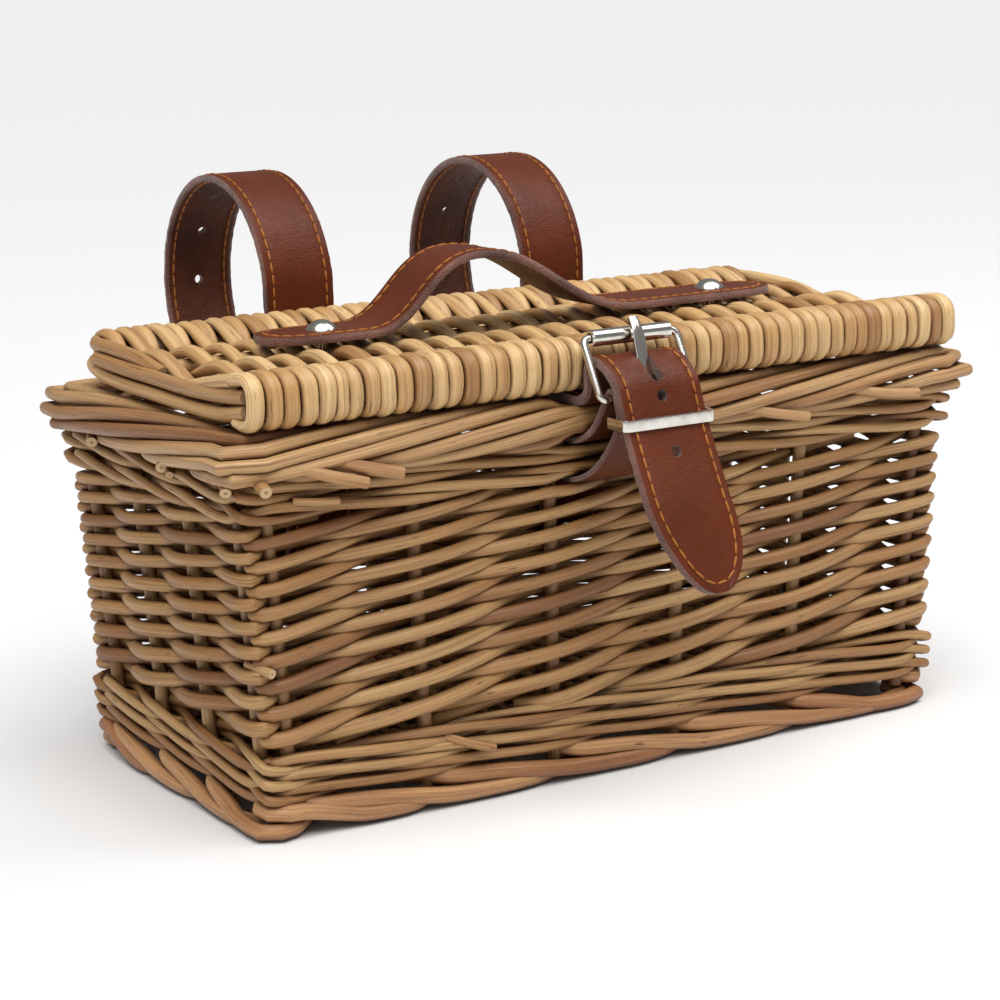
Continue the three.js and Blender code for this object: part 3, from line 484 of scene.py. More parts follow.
def travel_near(length, lookup, spot):
    """How far round a rim the nearest point to a spot lies."""
    travel = np.linspace(0, length, 800)
    place_x, place_y = lookup(travel)[:2]
    return travel[np.argmin(np.hypot(place_x - spot[0], place_y - spot[1]))]


# A rod's course from its stake: share of the way to the stake after next, distance out and height.
FOOT_COURSE = (
    (-0.06, -3.5, 8.8), (0.0, 0.0, 8.6), (0.05, 2.8, 8.2), (0.25, 4.6, 6.8), (0.45, 5.2, 4.4),
    (0.55, 5.3, 3.2), (0.82, 5.2, 2.6), (0.93, 3.4, 2.6), (1.02, 0.2, 2.7), (1.10, -2.6, 3.0),
)
stake_travel = [travel_near(foot_length, foot_lookup, foot) for foot, head, way in stakes]
foot_rods = []
for number, start in enumerate(stake_travel):
    reach = (stake_travel[(number + 2) % len(stakes)] - start) % foot_length
    course = [
        (share * reach, (out + chance.uniform(-0.25, 0.25)) * MM, (height + chance.uniform(0, 0.2)) * MM)
        for share, out, height in FOOT_COURSE
    ]
    line = rim_rod(foot_lookup, start + sway(2.0), course)
    thick = FOOT_ROD * (np.linspace(1.05, 0.95, len(line)) + uneven(line, 0.04))
    foot_rods.append((line, thick, chance.random()))
add_rods("foot_border_rods", foot_rods, willow_foot, "body", "willow", "foot_border", sides=12)

# Wales: bands of three thin rods twisted round the stakes together, in front of two and behind one.
# The lower band locks the stakes above the foot and the upper one closes the sides under the border.
WALE_ROD = 1.5 * MM
WALE_OUT = 3.5 * MM
WALE_RISE = 1.48 * MM
WALE_START = 15
WALE_SHIFT = 4
CLOSING_X = -4 * MM
BUCKLE_HALF = 13.5 * MM
BAR_HALF = 12.5 * MM
STRAP_SPARE = 1.2 * MM
SOFT_RUN = 9 * MM
ROD_STEP = 4 * MM


def node_middle(name):
    """The middle of a CAD node's box."""
    low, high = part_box(name)
    return (low + high) / 2


BAR_SPOTS = [node_middle(f"{side}_bar_strap").x for side in ("left", "right")]

# Where straps pass through the wall: middle, half width, front and back, way round, height, clear height.
strap_ways = [
    (CLOSING_X, BUCKLE_HALF, -80 * MM, -56 * MM, "both", 91.15 * MM, 1.1 * MM),
    (CLOSING_X, BUCKLE_HALF, -80 * MM, -56 * MM, "both", 102.65 * MM, 1.1 * MM),
    *((spot, BAR_HALF, 30 * MM, 50 * MM, "both", 50.13 * MM, 1.4 * MM) for spot in BAR_SPOTS),
]


def ease(share):
    """A smooth step from 0 to 1."""
    share = np.clip(share, 0.0, 1.0)
    return share * share * (3 - 2 * share)


def make_way(line, radius, ways):
    """Move a rod's line up or down where straps pass, with a soft run on each side of them."""
    moved = np.array(line, float)
    for middle, half, front, back, side, level, clear in ways:
        beside = (moved[:, 1] > front) & (moved[:, 1] < back)
        apart = np.where(beside, np.abs(moved[:, 0] - middle), np.inf)
        near = 1 - ease((apart - half - STRAP_SPARE) / SOFT_RUN)
        gap = moved[:, 2] - level
        need = clear + radius
        if side == "over" or (side == "both" and gap[np.argmin(apart)] >= 0):
            moved[:, 2] += near * np.maximum(0, need - gap)
        else:
            moved[:, 2] += near * np.minimum(0, -need - gap)
    return moved


def turn_point(index, height, out):
    """Where a rod turns the corner between a stake and the next, or nothing along a straight side."""
    side, beside = (STAKE_NAMES[k % len(stakes)][0] for k in (index, index + 1))
    if side == beside:
        return []
    near = stake_at(index, height)[0]
    far = stake_at(index + 1, height)[0]
    along, across = (near, far) if side in ("front", "back") else (far, near)
    corner = np.array([across[0], along[1], height])
    way = corner - np.array([*(near + far)[:2] / 2, height])
    return [corner + way / np.linalg.norm(way) * out]


# At each of three stakes in turn: shares of distance out and rise, then the same at a corner after it.
WALE_TWIST = ((-1, 0, 0.3, 0), (1, 1, 1.5, 0), (1, -1, 0.3, 0.5))


def wale_rods(heights):
    """The rods of one band, a round of three at each height."""
    rods = []
    for turn, height in enumerate(heights):
        for member in range(3):
            first = WALE_START + turn * WALE_SHIFT + member
            points = []
            for step in range(len(stakes) + 2):
                out, lift, corner_out, corner_lift = WALE_TWIST[step % 3]
                level = height + lift * WALE_RISE + sway(0.2)
                middle, way = stake_at(first + step, level)
                points.append(middle + way * out * WALE_OUT)
                points += turn_point(first + step, height + corner_lift * WALE_RISE, corner_out * WALE_OUT)
            line = make_way(smooth_line(points, ROD_STEP), WALE_ROD, strap_ways)
            thick = WALE_ROD * (chance.uniform(0.93, 1.07) + uneven(line, 0.06))
            rods.append((line, thick, chance.random()))
    return rods


LOWER_ROUNDS = (12.4 * MM, 16.9 * MM, 21.4 * MM)
add_rods("lower_wale_rods", wale_rods(LOWER_ROUNDS), willow_body, "body", "willow", "lower_wale")

# Sides: plain weave of thin golden rods, each passing in front of one stake and behind the next.
# Twenty-two rods start inside above the lower wale, one a little after the other, and climb round the walls.
WEAVE_ROD = 2.04 * MM
WEAVE_OUT = 3.7 * MM
WEAVE_RODS = 22
ROWS = 20
END_ROOM = 6 * MM
INSIDE = 3 * MM
CLIMB_LEAD = 0.12
CORNER_OUT = {1: 2.6 * MM, -1: 1.0 * MM}
weave_low, weave_high = (corner.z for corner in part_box("front_weave"))
weave_middle = (weave_low + weave_high) / 2
wall_points = []
stake_spots = []
for index in range(len(stakes) + 1):
    stake_spots.append(len(wall_points))
    wall_points += [stake_at(index, weave_middle)[0], *turn_point(index, weave_middle, 0.0)]
wall_travel = travel_of(np.array(wall_points))[stake_spots]
wall_length = wall_travel[-1]
weave_run = wall_length * (ROWS - 1) / WEAVE_RODS


def climbed(travel):
    """A rod's height after some travel: its thick lower part climbs more steeply than its thin tip."""
    share = travel / weave_run
    return weave_low + (weave_high - weave_low) * share * (1 + CLIMB_LEAD - CLIMB_LEAD * share)


def passed_at(index):
    """How far round the wall a stake stands, counted on from round to round."""
    return wall_travel[index % len(stakes)] + wall_length * (index // len(stakes))


def inside_at(travel, height):
    """A place inside the wall, between two stakes."""
    index = next(k for k in range(3 * len(stakes)) if passed_at(k + 1) > travel)
    share = (travel - passed_at(index)) / (passed_at(index + 1) - passed_at(index))
    (near, near_way), (far, far_way) = (stake_at(k, height) for k in (index, index + 1))
    near = near - near_way * INSIDE
    return near + share * (far - far_way * INSIDE - near)


weave_rods = []
for number in range(WEAVE_RODS):
    begin = (number + 0.5) * wall_length / WEAVE_RODS
    finish = begin + weave_run
    points = [inside_at(begin, weave_low)]
    passed = [
        index for index in range(2 * len(stakes)) if begin + END_ROOM < passed_at(index) < finish - END_ROOM
    ]
    for index in passed:
        side = 1 if (number + index) % 2 == 0 else -1
        level = climbed(passed_at(index) - begin) + sway(0.35)
        middle, way = stake_at(index, level)
        points.append(middle + way * side * (WEAVE_OUT + sway(0.25)))
        if index < passed[-1]:
            halfway = (passed_at(index) + passed_at(index + 1)) / 2
            points += turn_point(index, climbed(halfway - begin), CORNER_OUT[side])
    points.append(inside_at(finish, weave_high))
    line = make_way(smooth_line(points, ROD_STEP), WEAVE_ROD, strap_ways)
    line[:, 2] += uneven(line, 0.22 * MM)
    taper = np.linspace(1.14, 0.84, len(line))
    weave_rods.append((line, WEAVE_ROD * (taper + uneven(line, 0.05)), chance.random()))
side_nodes = ("front_weave", "back_weave", "left_weave", "right_weave")
add_rods("side_weave_rods", weave_rods, willow_body, "body", "willow", *side_nodes)

# Upper wale: the same three-rod twist as at the foot, drawn tight under the border.
# The leather that holds the front buckle passes above and below it.
UPPER_ROUNDS = (93.9 * MM, 99.8 * MM)
add_rods("upper_wale_rods", wale_rods(UPPER_ROUNDS), willow_body, "body", "willow", "upper_wale")

# Top border: thick rods laid down round the top edge, each over the next and tucked in above the wale.
# They run to the left along the front, from inside at the top to outside at the bottom.
border_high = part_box("top_border")[1]
BORDER_RODS = 20
BORDER_CORNER = 4 * MM
border_x = border_high.x - 11.0 * MM
border_y = border_high.y - MIDDLE_Y - 10.5 * MM
border_length, border_lookup = rim(border_x, border_y, BORDER_CORNER)
border_step = border_length / BORDER_RODS
# A rod's course: steps from its start, distance out and height.
BORDER_COURSE = (
    (0.0, 0.0, 101.0), (0.12, -1.2, 106.5), (0.5, -2.9, 111.6), (1.1, -0.8, 114.3), (1.95, 3.4, 114.7),
    (2.8, 6.9, 112.9), (3.6, 8.5, 109.9), (4.4, 8.3, 106.4), (5.0, 6.6, 104.3), (5.4, 3.0, 103.2),
    (5.65, -1.0, 102.6),
)
BORDER_ROD = 2.1 * MM
border_ways = [
    (CLOSING_X, BUCKLE_HALF + MM, -90 * MM, -56 * MM, "under", 113.9 * MM, 0.1 * MM),
    (CLOSING_X, BUCKLE_HALF, -90 * MM, -70 * MM, "over", 104.6 * MM, 1.0 * MM),
    *((spot, BAR_HALF, 30 * MM, 60 * MM, "under", 114.1 * MM, 0.1 * MM) for spot in BAR_SPOTS),
]
willow_border = willow("willow_border", (200, 160, 108), (170, 122, 72), (100, 52, 22))
border_rods = []
for number in range(BORDER_RODS):
    shift = sway(3.0)
    course = [
        (-travel * border_step, (out + chance.uniform(-0.3, 0.3)) * MM, height * MM)
        for travel, out, height in BORDER_COURSE
    ]
    line = rim_rod(border_lookup, number * border_step + shift, course)
    line[:, 2] += uneven(line, 0.35 * MM, 28 * MM)
    line = make_way(line, BORDER_ROD, border_ways)
    thick = BORDER_ROD * (np.linspace(1.04, 0.92, len(line)) + uneven(line, 0.05))
    border_rods.append((line, thick, chance.random()))
add_rods("top_border_rods", border_rods, willow_border, "body", "willow", "top_border", sides=12)

# Rod ends: the cut butts and tips that stay outside, under the border, in the weave and above the foot.
# On the left they point forwards and show their pale pith.
# Each rod's radius, then three places along it.
END_LINES = (
    (1.75, (-112.0, -62.0, 107.5), (-103.0, -66.0, 104.4), (-91.0, -68.0, 101.0)),
    (1.95, (-100.0, -62.0, 107.5), (-91.0, -66.0, 105.0), (-80.0, -68.4, 102.4)),
    (1.60, (42.0, -62.0, 106.5), (51.0, -66.0, 104.2), (63.0, -68.0, 102.0)),
    (1.80, (84.0, -62.0, 107.5), (94.0, -66.4, 105.6), (106.0, -68.6, 104.6)),
    (1.35, (-62.0, -57.0, 20.5), (-56.0, -60.6, 18.2), (-48.5, -62.6, 15.8)),
    (1.40, (-121.0, -50.0, 50.5), (-120.4, -55.0, 50.2), (-119.0, -61.0, 49.6)),
    (1.10, (-110.0, -60.0, 97.0), (-105.0, -63.0, 96.6), (-98.0, -64.0, 96.3)),
    (1.80, (-122.0, 42.0, 108.0), (-127.0, 35.0, 105.4), (-130.6, 28.6, 102.6)),
    (1.70, (-122.0, -7.0, 108.0), (-127.0, -14.0, 105.2), (-130.6, -20.0, 102.6)),
    (1.15, (-124.0, -12.0, 104.0), (-127.4, -18.0, 102.4), (-129.6, -23.0, 100.8)),
    (1.70, (-122.0, -46.0, 107.0), (-126.4, -53.0, 104.2), (-129.6, -58.4, 101.4)),
    (1.85, (-120.0, -54.0, 106.0), (-121.4, -61.0, 104.2), (-122.4, -68.4, 102.4)),
)
end_rods = []
for radius, *course in END_LINES:
    points = [(x * MM, MIDDLE_Y + y * MM, z * MM) for x, y, z in course]
    end_rods.append((smooth_line(points, 3 * MM), radius * MM, chance.uniform(0.2, 0.7)))
add_rods("rod_ends", end_rods, willow_border, "body", "willow", sides=12)

# Hinge rings: thin willow rods wound round the lid's back rail and the border, one near each end.
# The lid turns in them.
RING_WIRE = 1.5 * MM
RING_INSET = 1.6 * MM
RING_TURN = np.linspace(0, 2.3 * math.pi, 44)
for side in ("left", "right"):
    ring_middle = node_middle(f"hinge_ring_{side}")
    ring_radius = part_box(f"hinge_ring_{side}")[1].z - ring_middle.z - RING_INSET
    line = np.column_stack([
        ring_middle.x + np.linspace(-1.0, 1.0, len(RING_TURN)) * MM,
        ring_middle.y + ring_radius * np.cos(RING_TURN),
        ring_middle.z + ring_radius * np.sin(RING_TURN),
    ])
    ring_rods = [(line, RING_WIRE, 0.4)]
    add_rods(f"hinge_ring_rod_{side}", ring_rods, willow_stake, "body", "willow", f"hinge_ring_{side}")

# Lid: two rails and two sticks along its length, with forty-seven short rods woven across them.
# Every rod is wrapped round the front and the back rail, and paler than the body.
LID_RODS = 47
LID_FLAT = 0.74
RAIL_ROD = 3.0 * MM
LID_STICK = 2.3 * MM
# Thickness of each rail and stick, and how far it stops short of its solid's ends.
LID_STICKS = {
    "lid_front_rail": (RAIL_ROD, 5.5 * MM), "lid_back_rail": (RAIL_ROD, 6.5 * MM),
    "lid_stick_front": (LID_STICK, 7 * MM), "lid_stick_back": (LID_STICK, 7 * MM),
}
willow_lid = willow("willow_lid", (226, 190, 134), (204, 158, 100), (120, 70, 30), 0.45)
stick_rods = []
for name, (radius, inset) in LID_STICKS.items():
    low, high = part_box(name)
    middle = node_middle(name)
    ends = (low.x + inset, 0, high.x - inset)
    line = smooth_line([(x, middle.y, middle.z) for x in ends], 12 * MM)
    stick_rods.append((line, radius, chance.random() * 0.6))
add_rods("lid_sticks", stick_rods, willow_lid, "lid", "lid_willow", *LID_STICKS, sides=14)

front_rail_y, back_rail_y, front_stick_y, back_stick_y = (node_middle(name).y for name in LID_STICKS)
rail_level = node_middle("lid_front_rail").z
weave_start, weave_end = (corner.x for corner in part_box("lid_weave"))
WRAP_CLEAR = 6.35 * MM
STICK_CLEAR = 4.3 * MM
WRAP_STEP = 2.2 * MM
END_WRAP_OUT = 3.0 * MM
END_WRAP_ROD = 2.7 * MM


def rail_turn(rail_y, outward, from_above):
    """Points of a rod's wrap round a rail, from the weave's side to its tucked end."""
    top = WRAP_CLEAR if from_above else -WRAP_CLEAR
    inward = -outward
    return [
        (rail_y + inward * 5.0 * MM, top * 0.90),
        (rail_y + outward * 2.4 * MM, top * 0.99),
        (rail_y + outward * WRAP_CLEAR * 0.88, top * 0.70),
        (rail_y + outward * WRAP_CLEAR, 0.0),
        (rail_y + outward * WRAP_CLEAR * 0.88, -top * 0.72),
        (rail_y + outward * 2.0 * MM, -top * 0.99),
        (rail_y + inward * 3.5 * MM, -top * 0.92),
        (rail_y + inward * 8.0 * MM, -top * 0.45),
        (rail_y + inward * 10.0 * MM, top * 0.05),
    ]


widths = np.array([chance.uniform(0.86, 1.14) for number in range(LID_RODS)])
widths *= (weave_end - weave_start) / widths.sum()
spots = weave_start + np.cumsum(widths) - widths / 2
lid_rods = []
for number, spot in enumerate(spots):
    top = 1 if number % 2 == 0 else -1
    back = rail_turn(back_rail_y, 1, top < 0)
    front = rail_turn(front_rail_y, -1, top > 0)
    between = [(back_stick_y, top * STICK_CLEAR), (front_stick_y, -top * STICK_CLEAR)]
    course = [*reversed(back), *between, *front]
    lean = sway(0.9)
    points = [
        (spot + lean * share + sway(0.15), y, rail_level + lift)
        for share, (y, lift) in zip(np.linspace(-1, 1, len(course)), course)
    ]
    line = smooth_line(points, WRAP_STEP)
    lid_rods.append((line, widths[number] * (0.5 + uneven(line, 0.03, 9 * MM)), chance.random()))
for spot in (weave_start - END_WRAP_OUT, weave_end + END_WRAP_OUT):
    course = rail_turn(front_rail_y, -1, True)[:7]
    points = [(spot + sway(0.2), y, rail_level + lift) for y, lift in course]
    lid_rods.append((smooth_line(points, WRAP_STEP), END_WRAP_ROD, 0.3))
add_rods("lid_weave_rods", lid_rods, willow_lid, "lid", "lid_willow", "lid_weave", flat=LID_FLAT)

# Lid ends: thick rods laid one on the other along each end and drawn round the back corner.
# They run into a wrap round the front rail, and two of them show a cut end on the outside.
END_ROD = 2.2 * MM
END_STEP = 3 * MM
# Places along each rod: distance from the lid's middle, y and lift over the rail.
END_COURSES = (
    ((123.2, 38.0, 0.4), (123.3, 26.0, 0.2), (123.2, 0.0, -0.2), (123.1, -30.0, -0.3), (122.7, -48.0, 0.6),
     (122.2, -59.0, 1.6)),
    ((115.0, 48.6, -1.6), (120.4, 46.6, -1.8), (122.8, 39.0, -2.9), (123.2, 28.0, -4.3), (123.2, 0.0, -4.9),
     (123.0, -45.0, -4.8), (122.2, -59.0, -2.6)),
    ((112.0, 48.2, 3.4), (117.6, 47.6, 4.2), (121.0, 43.0, 4.2), (121.6, 30.0, 4.2), (121.2, 12.0, 3.2),
     (120.4, -2.0, 0.6)),
    ((121.8, -50.5, 5.0), (121.8, -44.0, 3.9), (121.4, -32.0, 1.6), (120.6, -20.0, -0.8)),
)
for side, sign in (("left", -1), ("right", 1)):
    end_rods = []
    for course in END_COURSES:
        points = [
            (sign * (across + chance.uniform(-0.15, 0.15)) * MM, MIDDLE_Y + y * MM, rail_level + lift * MM)
            for across, y, lift in course
        ]
        line = smooth_line(points, END_STEP)
        thick = END_ROD * (chance.uniform(0.97, 1.05) + uneven(line, 0.04))
        end_rods.append((line, thick, chance.random()))
    add_rods(f"lid_end_rods_{side}", end_rods, willow_lid, "lid", "lid_willow", f"lid_end_{side}", sides=14)

# Carrying handle: a strap of red-brown leather laid along the lid and bowed up to be gripped.
# Its pointed ends are riveted through the lid, and two rows of gold thread run along its edges.
HANDLE_HALF = 12 * MM
HANDLE_THICK = 2.6 * MM
HANDLE_TAPER = 16 * MM
HANDLE_TIP = 1.5 * MM
HANDLE_FLAT = 133.6 * MM
HANDLE_DROP = 1.6 * MM
HANDLE_Y = MIDDLE_Y - 7 * MM
STITCH_INSET = 3.0 * MM


def build_leather_grain():
    """Smooth leather: mottled colour, fine pores and soft creases."""
    tree, given, made = new_group(
        "leather_grain", "ShaderNodeTree",
        [("Tone", COLOR, None), ("Deep", COLOR, None), ("Pores", FLOAT, 1300.0), ("Mottle", FLOAT, 0.8)],
        FINISH_OUTPUTS,
    )
    tone, deep, fineness, mottle = (given.outputs[name] for name in ("Tone", "Deep", "Pores", "Mottle"))
    spot = tree.nodes.new("ShaderNodeTexCoord").outputs["Object"]
    slow = noise_of(tree, spot, 70.0, 5.0)
    crease = noise_of(tree, spot, 420.0, 4.0, 0.6)
    pores = place(tree, "ShaderNodeTexVoronoi", {"Vector": spot, "Scale": fineness}).outputs["Distance"]
    mottled = laid_over(tree, tone, deep, slow, 0.35, 0.68, mottle)
    tree.links.new(laid_over(tree, mottled, deep, crease, 0.55, 0.75, 0.35), made.inputs["Color"])
    tree.links.new(ramp_of(tree, crease, 0.3, 0.7, 0.36, 0.54), made.inputs["Roughness"])
    height = math_of(tree, "MULTIPLY_ADD", crease, 0.8, math_of(tree, "MULTIPLY", pores, 0.6))
    tree.links.new(height, made.inputs["Height"])
    return tree


leather_grain = build_leather_grain()


def leather(name, tone, deep, pores, mottle, depth):
    """A leather finish from the shared grain."""
    material, tree, shader = new_material(name)
    values = {"Tone": paint(*tone), "Deep": paint(*deep), "Pores": pores, "Mottle": mottle}
    grain = place(tree, "ShaderNodeGroup", values, node_tree=leather_grain)
    feed(tree, shader, *grain.outputs[:3], depth)
    shader.inputs["Specular IOR Level"].default_value = 0.25
    return material


leather_face = leather("leather_face", (98, 42, 17), (76, 31, 11), 1300.0, 0.6, 0.16 * MM)
leather_edge = leather("leather_cut_edge", (136, 92, 78), (76, 42, 33), 2600.0, 1.0, 0.6 * MM)
leather_back = leather("leather_back", (98, 48, 24), (64, 28, 13), 1900.0, 1.0, 0.5 * MM)
leather_edge.node_tree.nodes["Principled BSDF"].inputs["Sheen Weight"].default_value = 0.3

STRAP_FINISHES = (leather_face, leather_edge, leather_back)
FACE, EDGE, BACK = range(len(STRAP_FINISHES))
GROOVE_HALF = 0.6 * MM
fray = np.random.default_rng(5)

# From the edge to the middle of a strap's face: distance in, its limit as a share of the half width, and
# height as a share of the half thickness. A groove for the stitch row lies between edge and middle.
STRAP_FACE = np.array([
    (0.0, 0.0, -0.25), (0.2 * MM, 0.03, 0.40), (0.6 * MM, 0.08, 0.90),
    (STITCH_INSET - GROOVE_HALF, 0.32, 1.0), (STITCH_INSET, 0.40, 0.78),
    (STITCH_INSET + GROOVE_HALF, 0.48, 1.0), (6.5 * MM, 0.70, 1.06),
])
# Across the back: shares of the half width and of the half thickness.
STRAP_BACK = np.array([(0.985, -0.85), (0.90, -1.0), (0.0, -1.0), (-0.90, -1.0), (-0.985, -0.85)])
STRAP_SKINS = [EDGE] * 2 + [FACE] * 9 + [EDGE] * 4 + [BACK] * 2 + [EDGE] * 2
FRAYED = [0, 1, 12, 13, 14, 18]
FRAY_REACH = 0.14


def strap_sections(half, thick):
    """Sections of a strap: raw edges, rounded shoulders and a shallow groove for each stitch row."""
    half = np.asarray(half, float)[:, None]
    inset, share, rise = STRAP_FACE.T
    left = np.minimum(inset, share * half) - half
    across = np.hstack([left, -left[:, ::-1], STRAP_BACK[:, 0] * half])
    across[:, FRAYED] += fray.uniform(-FRAY_REACH, FRAY_REACH, (len(half), len(FRAYED))) * MM
    out = np.concatenate([rise, rise[::-1], STRAP_BACK[:, 1]])
    return np.stack([across, np.broadcast_to(thick / 2 * out, across.shape)], axis=2)


def directions(line, across, closed):
    """The way along a line at each point, and the way out from its face."""
    if closed:
        way = np.roll(line, -1, axis=0) - np.roll(line, 1, axis=0)
    else:
        way = np.gradient(line, axis=0)
    way = way / np.linalg.norm(way, axis=1)[:, None]
    out = np.cross(across, way)
    return way, out / np.linalg.norm(out, axis=1)[:, None]


def sweep(name, line, across, sections, skins, finishes, closed=False):
    """Carry sections of across and outward distances along a line, as one closed mesh."""
    across = np.asarray(across, float)
    out = directions(line, across, closed)[1]
    count, around = sections.shape[:2]
    spots = (
        line[:, None, :] + sections[:, :, :1] * across + sections[:, :, 1:] * out[:, None, :]
    ).reshape(-1, 3)
    faces, marks = [], []
    for i in range(count if closed else count - 1):
        near = i * around
        far = (i + 1) % count * around
        for j in range(around):
            k = (j + 1) % around
            faces.append((near + j, near + k, far + k, far + j))
            marks.append(skins[j])
    if not closed:
        faces.append(tuple(range(around)))
        faces.append(tuple(reversed(range((count - 1) * around, count * around))))
        marks += [skins[0], skins[0]]
    mesh = bpy.data.meshes.new(name)
    mesh.from_pydata(spots.tolist(), [], faces)
    mesh.polygons.foreach_set("material_index", marks)
    for finish in finishes:
        mesh.materials.append(finish)
    tidy_mesh(mesh)
    return new_piece(name, mesh)


def tidy_mesh(mesh, sharp=40):
    """Merge doubles, turn all faces outwards and shade smoothly between sharp edges."""
    shape = bmesh.new()
    shape.from_mesh(mesh)
    bmesh.ops.remove_doubles(shape, verts=shape.verts, dist=1e-7)
    bmesh.ops.recalc_face_normals(shape, faces=shape.faces)
    shape.to_mesh(mesh)
    shape.free()
    mesh.polygons.foreach_set("use_smooth", [True] * len(mesh.polygons))
    mesh.set_sharp_from_angle(angle=math.radians(sharp))


def cut_strap(name, line, across, half, thick, closed=False):
    """A leather strap along a line, from its half widths and thickness."""
    sections = strap_sections(half, thick)
    return sweep(name, line, across, sections, STRAP_SKINS, STRAP_FINISHES, closed)


STRAP_STEP = 1.4 * MM


def fine_ends(line, run, both=False):
    """The same line with its points drawn together towards its end, or towards both ends."""
    travel = travel_of(line)
    close = run * np.linspace(1, 0, 18) ** 2
    start = [run - close] if both else [np.zeros(1)]
    middle = np.arange(run if both else 0.0, travel[-1] - run, STRAP_STEP)[1:]
    spots = np.concatenate([*start, middle, travel[-1] - close])
    return np.column_stack([np.interp(spots, travel, line[:, k]) for k in range(3)])


def pointed(travel, half, taper, tip, both=False):
    """Half widths of a strap with a rounded point at its end, or at both ends."""
    left = travel[-1] - travel
    if both:
        left = np.minimum(left, travel)
    return tip + (half - tip) * np.sqrt(1 - (1 - np.clip(left / taper, 0, 1)) ** 2)


def build_stitch_tree():
    """Short threads set end to end along lines."""
    tree, given, made = new_group(
        "stitches_on_lines", "GeometryNodeTree",
        [("Lines", "NodeSocketGeometry", None), ("Step", FLOAT, 4.0 * MM), ("Length", FLOAT, 1.92 * MM),
         ("Thickness", FLOAT, 0.42 * MM), ("Finish", "NodeSocketMaterial", None)],
        [("Stitches", "NodeSocketGeometry")],
    )
    curve = first_of(tree, "GeometryNodeMeshToCurve", {"Mesh": given.outputs["Lines"]})
    spaced = {"Curve": curve, "Length": given.outputs["Step"]}
    row = first_of(tree, "GeometryNodeResampleCurve", spaced, mode="LENGTH")
    thread = first_of(tree, "GeometryNodeMeshUVSphere", {"Segments": 6, "Rings": 5, "Radius": 1.0})
    way = {"Vector": first_of(tree, "GeometryNodeInputTangent")}
    turn = first_of(tree, "FunctionNodeAlignRotationToVector", way, axis="Z")
    size = {"X": given.outputs["Thickness"], "Y": given.outputs["Thickness"], "Z": given.outputs["Length"]}
    scale = first_of(tree, "ShaderNodeCombineXYZ", size)
    set_out = {"Points": row, "Instance": thread, "Rotation": turn, "Scale": scale}
    return end_tree(tree, given, made, first_of(tree, "GeometryNodeInstanceOnPoints", set_out))


stitch_tree = build_stitch_tree()
thread_gold = leather("thread_gold", (176, 108, 44), (130, 72, 26), 3000.0, 0.7, 0.2 * MM)
THREAD_SINK = 0.05 * MM


def sew(name, *rows):
    """Rows of stitches along lines, as one piece."""
    piece = new_lines(name, rows)
    grow(piece, stitch_tree, {"Finish": thread_gold})
    return piece


def stitch_row(line, across, half, thick, under=False, both=False):
    """The rows along a strap as one line that turns at its pointed end, or at both ends."""
    across = np.asarray(across, float)
    travel = travel_of(line)
    height = -(thick / 2 + THREAD_SINK) if under else thick / 2 - THREAD_SINK
    face = line + height * directions(line, across, False)[1]
    narrowing = np.gradient(half, travel)
    slant = np.sqrt(1 + narrowing**2)
    inner_travel = travel + STITCH_INSET * narrowing / slant
    spread = half - STITCH_INSET / slant
    middle = np.column_stack([np.interp(inner_travel, travel, face[:, k]) for k in range(3)])
    keep = spread > 0
    down, back = ((middle + sign * spread[:, None] * across)[keep] for sign in (-1, 1))
    row = [*down, *back[::-1]]
    return [*row, row[0]] if both else row


# Along the lid, in millimetres: the handle's ends, and where its bow starts, is highest and ends.
HANDLE_REACH = 92
BOW_START = -60
BOW_TOP = -22
BOW_END = 36
BOW_RISE = 20.5


def handle_line():
    """The middle line of the handle, from its left point to its right one."""
    def bow(start, lift_out, lift_in, end):
        t = np.linspace(0, 1, 40)[:, None]
        shares = np.hstack([(1 - t) ** 3, 3 * (1 - t) ** 2 * t, 3 * (1 - t) * t**2, t**3])
        return shares @ np.array([start, lift_out, lift_in, end], float)

    left = np.column_stack([np.linspace(-HANDLE_REACH, BOW_START, 22), np.zeros(22)])
    rise = bow((BOW_START, 0), (-42.9, 0), (-41, BOW_RISE), (BOW_TOP, BOW_RISE))
    fall = bow((BOW_TOP, BOW_RISE), (2.36, BOW_RISE), (8.16, 0), (BOW_END, 0))
    right = np.column_stack([np.linspace(BOW_END, HANDLE_REACH, 36), np.zeros(36)])
    flat = np.vstack([left, rise[1:], fall[1:], right[1:]]) * MM
    return np.column_stack([flat[:, 0], np.full(len(flat), HANDLE_Y), flat[:, 1] + HANDLE_FLAT])


LEFT_TO_RIGHT = (0, -1, 0)
handle = fine_ends(handle_line(), 12 * MM, both=True)
handle_half = pointed(travel_of(handle), HANDLE_HALF, HANDLE_TAPER, HANDLE_TIP, both=True)
handle_piece = cut_strap("handle_leather", handle, LEFT_TO_RIGHT, handle_half, HANDLE_THICK)
belong(handle_piece, "lid", "leather", "handle_strap")
handle_row = stitch_row(handle, LEFT_TO_RIGHT, handle_half, HANDLE_THICK, both=True)
belong(sew("handle_thread", handle_row), "lid", "leather")

# Handle rivets: domed nickel heads on the leather, with shanks through the lid.
# Each is spread over a plain washer under the lid.


def build_nickel():
    """Polished plate, a little dulled and scratched by handling."""
    material, tree, shader = new_material("polished_nickel", 0.16, 1.0)
    spot = tree.nodes.new("ShaderNodeTexCoord").outputs["Object"]
    smear = noise_of(tree, spot, 260.0, 5.0)
    color = laid_over(tree, paint(226, 222, 214), paint(186, 178, 166), smear, 0.4, 0.7, 0.5)
    roughness = ramp_of(tree, smear, 0.3, 0.7, 0.10, 0.24)
    feed(tree, shader, color, roughness, noise_of(tree, spot, 1600.0, 3.0), 0.04 * MM, 0.5)
    return material


